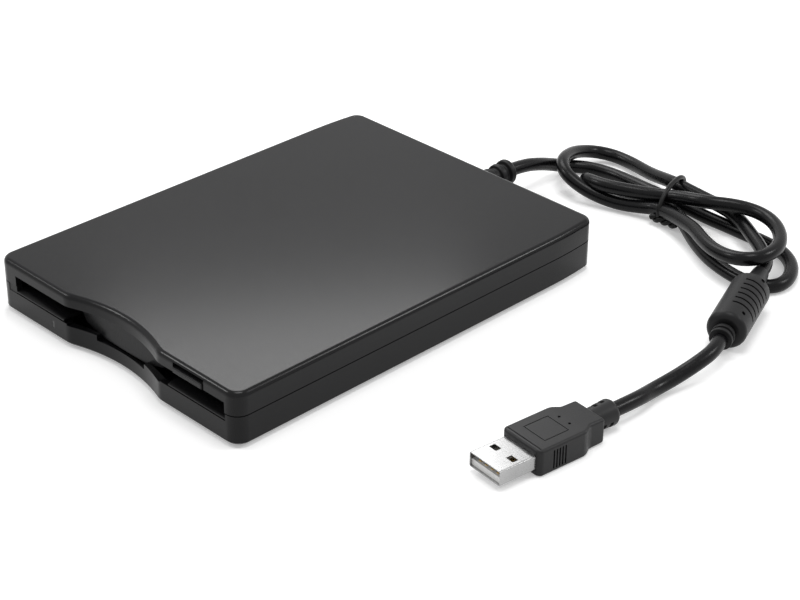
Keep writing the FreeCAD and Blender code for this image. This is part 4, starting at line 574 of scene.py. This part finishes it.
# %% [markdown]
# ## The front of the base
# The lower front is one long flat face with the bend of the scoop and the light slit in it. Long thin
# triangles there would carry the bend's shading far along the wall. A few cuts across the piece, one at
# each end of the bend and one on each side of the slit, stop it. Bisect makes such a cut at a chosen x.


# %% Keep the base's front flat
bend_ends = (-20.5, 20.5)
slit_sides = (-31.3, -28.6)


def cut_across(piece, x_mm):
    """A new row of vertices across the piece, so that shading beside a bend stays beside it."""
    take(piece)
    bpy.ops.object.mode_set(mode="EDIT")
    bpy.ops.mesh.select_all(action="SELECT")
    bpy.ops.mesh.bisect(plane_co=(x_mm * MM, 0, 0), plane_no=(1, 0, 0))
    bpy.ops.object.mode_set(mode="OBJECT")


for x in slit_sides + bend_ends:
    cut_across(base_shell, x)
shade(base_shell)
print("faces on the base:", len(base_shell.data.polygons))

# %% [markdown]
# ## Turned rubber pieces
# The boot, the bead and the plug's strain relief are round. One helper grows such a piece ring by ring: a
# disc is added, and its face is extruded and resized at each station, as on a lathe. A bevel modifier then
# rounds every sharp ring. The piece is made upright and laid on its own line at the end.


# %% Turn, round and lay a piece
def turned_piece(name, stations, sides=96):
    """A round solid about Z from (height, radius) stations in millimetres."""
    let_go()
    height, radius = stations[0]
    bpy.ops.mesh.primitive_circle_add(vertices=sides, radius=radius * MM, fill_type="NGON",
                                      location=(0, 0, height * MM))
    piece = bpy.context.active_object
    piece.name = name
    bpy.ops.object.mode_set(mode="EDIT")
    for next_height, next_radius in stations[1:]:
        lift = (0, 0, (next_height - height) * MM)
        bpy.ops.mesh.extrude_region_move(TRANSFORM_OT_translate={"value": lift})
        grow = next_radius / radius
        bpy.ops.transform.resize(value=(grow, grow, 1.0), center_override=(0, 0, next_height * MM))
        height, radius = next_height, next_radius
    bpy.ops.mesh.select_all(action="SELECT")
    bpy.ops.mesh.normals_make_consistent(inside=False)
    bpy.ops.object.mode_set(mode="OBJECT")
    settle(piece)
    return piece


def round_edges(piece, width_mm, steps=3):
    bevel = piece.modifiers.new("rounded_edges", "BEVEL")
    bevel.width = width_mm * MM
    bevel.segments = steps
    bevel.limit_method = "ANGLE"
    bevel.angle_limit = math.radians(30)
    apply_all(piece)


def lay_along(piece, start, along):
    """Lays an upright piece on a line, its Y side up."""
    turn = along.to_track_quat("Z", "Y").to_matrix().to_4x4()
    piece.matrix_world = Matrix.Translation(start * MM) @ turn
    settle(piece)


def finish_shape(piece, body, slot_name, finish, *nodes):
    """Smooth shading, a finish, and the node that the piece stands for."""
    shade(piece)
    dress(piece, finish)
    if nodes:
        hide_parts(*nodes)
    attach(piece, body)


def carve(piece, cutters):
    """Cuts all the cutters out of the piece at once."""
    take(cutters[0])
    for cutter in cutters:
        cutter.select_set(True)
    if len(cutters) > 1:
        bpy.ops.object.join()
    tool = bpy.context.active_object
    cut = piece.modifiers.new("carved", "BOOLEAN")
    cut.operation = "DIFFERENCE"
    cut.solver = "EXACT"
    cut.object = tool
    apply_all(piece)
    bpy.data.objects.remove(tool)


print("lathe and cutters ready")

# %% [markdown]
# ## The boot
# The boot stops the lead from kinking at the case. A narrow neck comes out of the wall and swells to two
# thick rings with deep grooves between them, so that the rubber can bend there.

# %% Turn the boot
boot_start = Vector((3.0, 70.15, 9.8))
boot_stations = [(0.0, 3.2), (0.5, 3.5), (6.7, 3.5), (7.0, 2.7), (8.9, 2.7), (9.1, 3.65), (10.7, 3.85),
                 (10.9, 2.75), (12.6, 2.75), (12.8, 4.0), (14.2, 4.15), (15.0, 3.6)]
boot_edge = 0.3
lead_boot = turned_piece("lead_boot", boot_stations)
round_edges(lead_boot, boot_edge)
lay_along(lead_boot, boot_start, Vector((0, 1, 0)))
finish_shape(lead_boot, "housing", "rubber_black", bead_rubber, "cable_boot")
print("boot faces:", len(lead_boot.data.polygons))

# %% [markdown]
# ## The ferrite bead
# A ferrite sleeve sits round the lead under moulded rubber. The mould leaves six slots round one side,
# where pins held the ferrite, and a small round pin hole beyond each end of the row. The slots are cut
# with bent bars, each a small rectangle that is spun part of the way round the axis.


# %% Turn the bead and carve its slots
cutter_deep = 2.0
bar_steps = 20
rod_sides = 24


def bent_bar(height, reach, width, start_angle, end_angle):
    """A bar of flat section, spun about Z. Angles in degrees run from Y towards X."""
    let_go()
    bpy.ops.mesh.primitive_plane_add(size=MM, rotation=(0, math.radians(90), 0),
                                     location=(0, reach * MM, height * MM))
    bar = bpy.context.active_object
    bar.scale = (width, cutter_deep, 1.0)
    settle(bar)
    bpy.ops.object.mode_set(mode="EDIT")
    bpy.ops.mesh.select_all(action="SELECT")
    span = math.radians(end_angle - start_angle)
    bpy.ops.mesh.spin(steps=bar_steps, angle=span, center=(0, 0, 0), axis=(0, 0, 1))
    bpy.ops.mesh.select_all(action="SELECT")
    bpy.ops.mesh.normals_make_consistent(inside=False)
    bpy.ops.object.mode_set(mode="OBJECT")
    bar.rotation_euler = (0, 0, -math.radians(start_angle))
    settle(bar)
    return bar


def pin_hole(height, reach, radius, angle):
    """A short rod that points at the axis."""
    let_go()
    turn = math.radians(angle)
    place = (math.sin(turn) * reach * MM, math.cos(turn) * reach * MM, height * MM)
    bpy.ops.mesh.primitive_cylinder_add(vertices=rod_sides, radius=radius * MM, depth=cutter_deep * MM,
                                        location=place, rotation=(math.radians(90), 0, -turn))
    rod = bpy.context.active_object
    settle(rod)
    return rod


bead_r, bead_edge = 5.85, 0.7
bead_from, bead_to = 9.5, 36.2
bead_length = (bead_front - bead_back).length
bead_stations = [(bead_from, bead_r - 0.9), (bead_from + 1.6, bead_r), (bead_to - 1.2, bead_r),
                 (bead_to, bead_r - 1.2)]
ferrite = turned_piece("ferrite", bead_stations)
round_edges(ferrite, bead_edge, 4)
slot_count, slot_pitch, slot_width = 6, 2.75, 0.7
slot_reach = bead_r + 0.45
slot_angles = (-6, 85)
row_middle = (bead_from + bead_to) / 2 - 1.2
slot_heights = [row_middle + (n - (slot_count - 1) / 2) * slot_pitch for n in range(slot_count)]
pin_reach, pin_r, pin_angle = bead_r + 0.2, 0.65, 39
pin_beyond = 3.1
slot_cutters = [bent_bar(height, slot_reach, slot_width, *slot_angles) for height in slot_heights]
for height in (slot_heights[0] - pin_beyond, slot_heights[-1] + pin_beyond):
    slot_cutters.append(pin_hole(height, pin_reach, pin_r, pin_angle))
carve(ferrite, slot_cutters)
print("bead faces:", len(ferrite.data.polygons))

# %% Add the bead's collars
collar_out, collar_in, collar_edge = 3.35, 2.6, 0.22
front_stations = [(bead_to - 1, collar_in), (bead_to + 0.9, collar_in), (bead_to + 1.0, collar_out),
                  (bead_to + 2.3, collar_out), (bead_to + 2.4, collar_in), (bead_to + 3.2, collar_in),
                  (bead_to + 3.3, collar_out), (bead_length + 0.4, collar_out)]
back_stations = [(0.0, 2.5), (4.2, 2.9), (bead_from - 2.6, 3.4), (bead_from - 2.0, 3.4),
                 (bead_from - 1.9, 2.9), (bead_from - 1.2, 2.9), (bead_from - 1.1, 3.6),
                 (bead_from + 1, 3.6)]
front_collar = turned_piece("front_collar", front_stations)
round_edges(front_collar, collar_edge)
back_collar = turned_piece("back_collar", back_stations)
round_edges(back_collar, collar_edge)
take(ferrite)
front_collar.select_set(True)
back_collar.select_set(True)
bpy.ops.object.join()
lay_along(ferrite, bead_back, bead_axis)
finish_shape(ferrite, "housing", "plug_black", bead_rubber, "ferrite_bead")
print("bead is", round(bead_length, 1), "mm long with its collars")

# %% [markdown]
# ## The plug's grip
# The grip is one moulding: a block with rounded edges, a neck that steps in behind it, and a slotted
# relief. It is made in the plug's own lines, mouth at zero and the lead towards +Y, and turned into place
# at the end. The block starts as a cube whose rear face is extruded and resized twice.


# %% Model the grip
def block(name, low, high):
    """A box between two corners in millimetres, its size in its mesh."""
    let_go()
    middle = [(a + b) / 2 * MM for a, b in zip(low, high)]
    bpy.ops.mesh.primitive_cube_add(size=1.0, location=middle)
    piece = bpy.context.active_object
    piece.name = name
    piece.scale = [(b - a) * MM for a, b in zip(low, high)]
    settle(piece)
    return piece


def pick(piece, kind, test):
    """Selects the faces or edges whose middle passes the test, in millimetres. Needs edit mode."""
    bpy.ops.mesh.select_all(action="DESELECT")
    mesh = bmesh.from_edit_mesh(piece.data)
    items = mesh.faces if kind == "FACE" else mesh.edges
    bpy.context.tool_settings.mesh_select_mode = (False, kind == "EDGE", kind == "FACE")
    for item in items:
        middle = sum((v.co for v in item.verts), Vector()) / len(item.verts) / MM
        if test(middle, item):
            item.select = True
    mesh.select_flush_mode()
    bmesh.update_edit_mesh(piece.data)


grip_half_wide, grip_half_high = 7.45, 4.0
grip_start, grip_end, neck_start, neck_end = 11.75, 28.2, 30.6, 36.0
neck_share, neck_low, rear_low = 0.78, 0.98, 0.96
front_corner, rear_corner, grip_edge = 1.7, 1.2, 0.8
near = 0.1
plug_grip = block("plug_grip", (-grip_half_wide, grip_start, -grip_half_high),
                  (grip_half_wide, grip_end, grip_half_high))
take(plug_grip)
bpy.ops.object.mode_set(mode="EDIT")
for reach, share, low in ((neck_start - grip_end, neck_share, neck_low),
                          (neck_end - neck_start, 1.0, rear_low)):
    pick(plug_grip, "FACE", lambda middle, face: face.normal.y > 0.9)
    bpy.ops.mesh.extrude_region_move(TRANSFORM_OT_translate={"value": (0, reach * MM, 0)})
    bpy.ops.transform.resize(value=(share, 1.0, low), center_override=(0, 0, 0))


def upright_corner(middle, y):
    """True for an upright edge at the block's outer corner, at this distance from the mouth."""
    return abs(middle.z) < near and abs(middle.y - y) < near and abs(middle.x) > grip_half_wide - near


pick(plug_grip, "EDGE", lambda middle, edge: upright_corner(middle, grip_start))
bpy.ops.mesh.bevel(offset=front_corner * MM, segments=5, affect="EDGES")
pick(plug_grip, "EDGE", lambda middle, edge: upright_corner(middle, grip_end))
bpy.ops.mesh.bevel(offset=rear_corner * MM, segments=4, affect="EDGES")
bpy.ops.object.mode_set(mode="OBJECT")
round_edges(plug_grip, grip_edge, 4)
print("grip block faces:", len(plug_grip.data.polygons))

# %% [markdown]
# ## The marks of the grip
# Five short grooves on each side give the fingers hold. The top has a thin engraved frame, left empty,
# and two small dots. Blocks and rods are cut out of the grip for these, all at once. The mouth, where
# the metal tube goes in, is cut on its own afterwards, which keeps its walls clean.

# %% Carve the grip
rib_first, rib_pitch, rib_count, rib_wide, rib_deep = 16.6, 1.0, 5, 0.5, 0.45
rib_low, rib_high = -2.9, 2.7
frame_half, frame_front, frame_back = 4.2, 16.3, 24.7
line, line_deep = 0.28, 0.15
dot_r, dot_deep, dot_apart, dot_from_mouth = 0.42, 0.5, 2.0, 26.8
mouth_half_wide, mouth_half_high, mouth_deep = 6.03, 2.28, 6.0
top = grip_half_high
carvers = []
for side in (-1, 1):
    for n in range(rib_count):
        y = rib_first + n * rib_pitch
        outer = side * (grip_half_wide + 1)
        inner = side * (grip_half_wide - rib_deep)
        carvers.append(block("rib_cutter", (min(inner, outer), y, rib_low),
                             (max(inner, outer), y + rib_wide, rib_high)))
panel_line = block("panel_line", (-frame_half, frame_front, top - line_deep),
                   (frame_half, frame_back, top + 1))
carve(panel_line, [block("panel_core", (line - frame_half, frame_front + line, top - 1),
                         (frame_half - line, frame_back - line, top + 2))])
carvers.append(panel_line)
for x in (-dot_apart, dot_apart):
    let_go()
    place = mm(x, dot_from_mouth, top + cutter_deep / 2 - dot_deep)
    bpy.ops.mesh.primitive_cylinder_add(vertices=rod_sides, radius=dot_r * MM, depth=cutter_deep * MM,
                                        location=place)
    settle(bpy.context.active_object)
    carvers.append(bpy.context.active_object)
carve(plug_grip, carvers)
mouth_room = block("mouth_cutter", (-mouth_half_wide, grip_start - 1, -mouth_half_high),
                   (mouth_half_wide, grip_start + mouth_deep, mouth_half_high))
carve(plug_grip, [mouth_room])
print("cutters used on the grip:", len(carvers) + 1)

# %% [markdown]
# ## The strain relief
# Behind the neck, a short sleeve with slots lets the lead bend by degrees. It is turned as the boot is,
# its windows are cut with bent bars, and it is joined to the grip.

# %% Add the strain relief
relief_from, relief_to, relief_edge = 35.0, 43.9, 0.35
relief_stations = [(relief_from, 3.3), (relief_from + 4.5, 3.6), (relief_to - 0.9, 3.8), (relief_to, 3.2)]
window_heights, window_starts = (38.4, 40.8), (5, 100, 195)
window_reach, window_width, window_span = 3.9, 1.2, 66
strain_relief = turned_piece("relief", relief_stations)
round_edges(strain_relief, relief_edge)
window_cutters = []
for height in window_heights:
    for start in window_starts:
        window_cutters.append(bent_bar(height, window_reach, window_width, start, start + window_span))
carve(strain_relief, window_cutters)
lay_along(strain_relief, Vector((0, 0, 0)), Vector((0, 1, 0)))
take(plug_grip)
strain_relief.select_set(True)
bpy.ops.object.join()
plug_grip.matrix_world = Matrix.Translation(plug_mouth * MM) @ Matrix.Rotation(plug_turn, 4, "Z")
settle(plug_grip)
finish_shape(plug_grip, "housing", "plug_black", plug_rubber, "plug_overmold")
print("plug grip faces:", len(plug_grip.data.polygons))

# %% [markdown]
# ## The twist tie
# A vinyl coated wire is bent once round the whole hank, and its two ends are twisted together in front.
# The loop is a closed NURBS curve in a slanted plane across the hank. The twisted ends are two helices
# round one line, worked out in code, which is how such a wire lies.


# %% Bend the tie
tie_half = 0.8


def wire(name, places, closed):
    curve = bpy.data.curves.new(name, "CURVE")
    curve.dimensions = "3D"
    spline = curve.splines.new("NURBS")
    spline.points.add(len(places) - 1)
    for point, place in zip(spline.points, places):
        point.co = (*(Vector(place) * MM), 1.0)
        point.radius = tie_half * MM
    spline.order_u = 3
    spline.use_cyclic_u = closed
    spline.use_endpoint_u = not closed
    spline.resolution_u = 6
    curve.bevel_depth = 1.0
    curve.bevel_resolution = 4
    curve.use_fill_caps = True
    piece = bpy.data.objects.new(name, curve)
    bpy.context.scene.collection.objects.link(piece)
    take(piece)
    bpy.ops.object.convert(target="MESH")
    return bpy.context.active_object


tie_x, tie_y, tie_slant = 46.4, 112, 0.25
loop_places = [(119.6, 0.95), (116.0, 0.85), (111.5, 0.85), (107.3, 1.5), (105.0, 3.4), (105.2, 6.0),
               (107.6, 8.7), (111.4, 10.7), (115.5, 11.0), (119.8, 10.7), (122.8, 8.9), (123.1, 5.9),
               (121.6, 2.6)]
twist_tie = wire("twist_tie", [(tie_x - tie_slant * (y - tie_y), y, z) for y, z in loop_places], True)
twist_from, twist_to = Vector((45.6, 105.0, 2.5)), Vector((54.4, 106.6, 2.0))
twist_turns, twist_steps, twist_r = 1.6, 24, 0.62
twist_axis = (twist_to - twist_from).normalized()
twist_side = twist_axis.cross(Vector((0, 0, 1))).normalized()
twist_up = twist_side.cross(twist_axis)
strands = []
for start in (0.0, math.pi):
    places = []
    for n in range(twist_steps + 1):
        angle = start + n / twist_steps * twist_turns * 2 * math.pi
        middle = twist_from.lerp(twist_to, n / twist_steps)
        places.append(middle + (twist_side * math.cos(angle) + twist_up * math.sin(angle)) * twist_r)
    strands.append(wire("tie_end", places, False))
take(twist_tie)
for strand in strands:
    strand.select_set(True)
bpy.ops.object.join()
finish_shape(twist_tie, "housing", "cord_black", tie_vinyl, "cord_tie")
print("tie faces:", len(twist_tie.data.polygons))

# %% [markdown]
# The lead gets the soft PVC.

dress(usb_lead, cord_pvc)
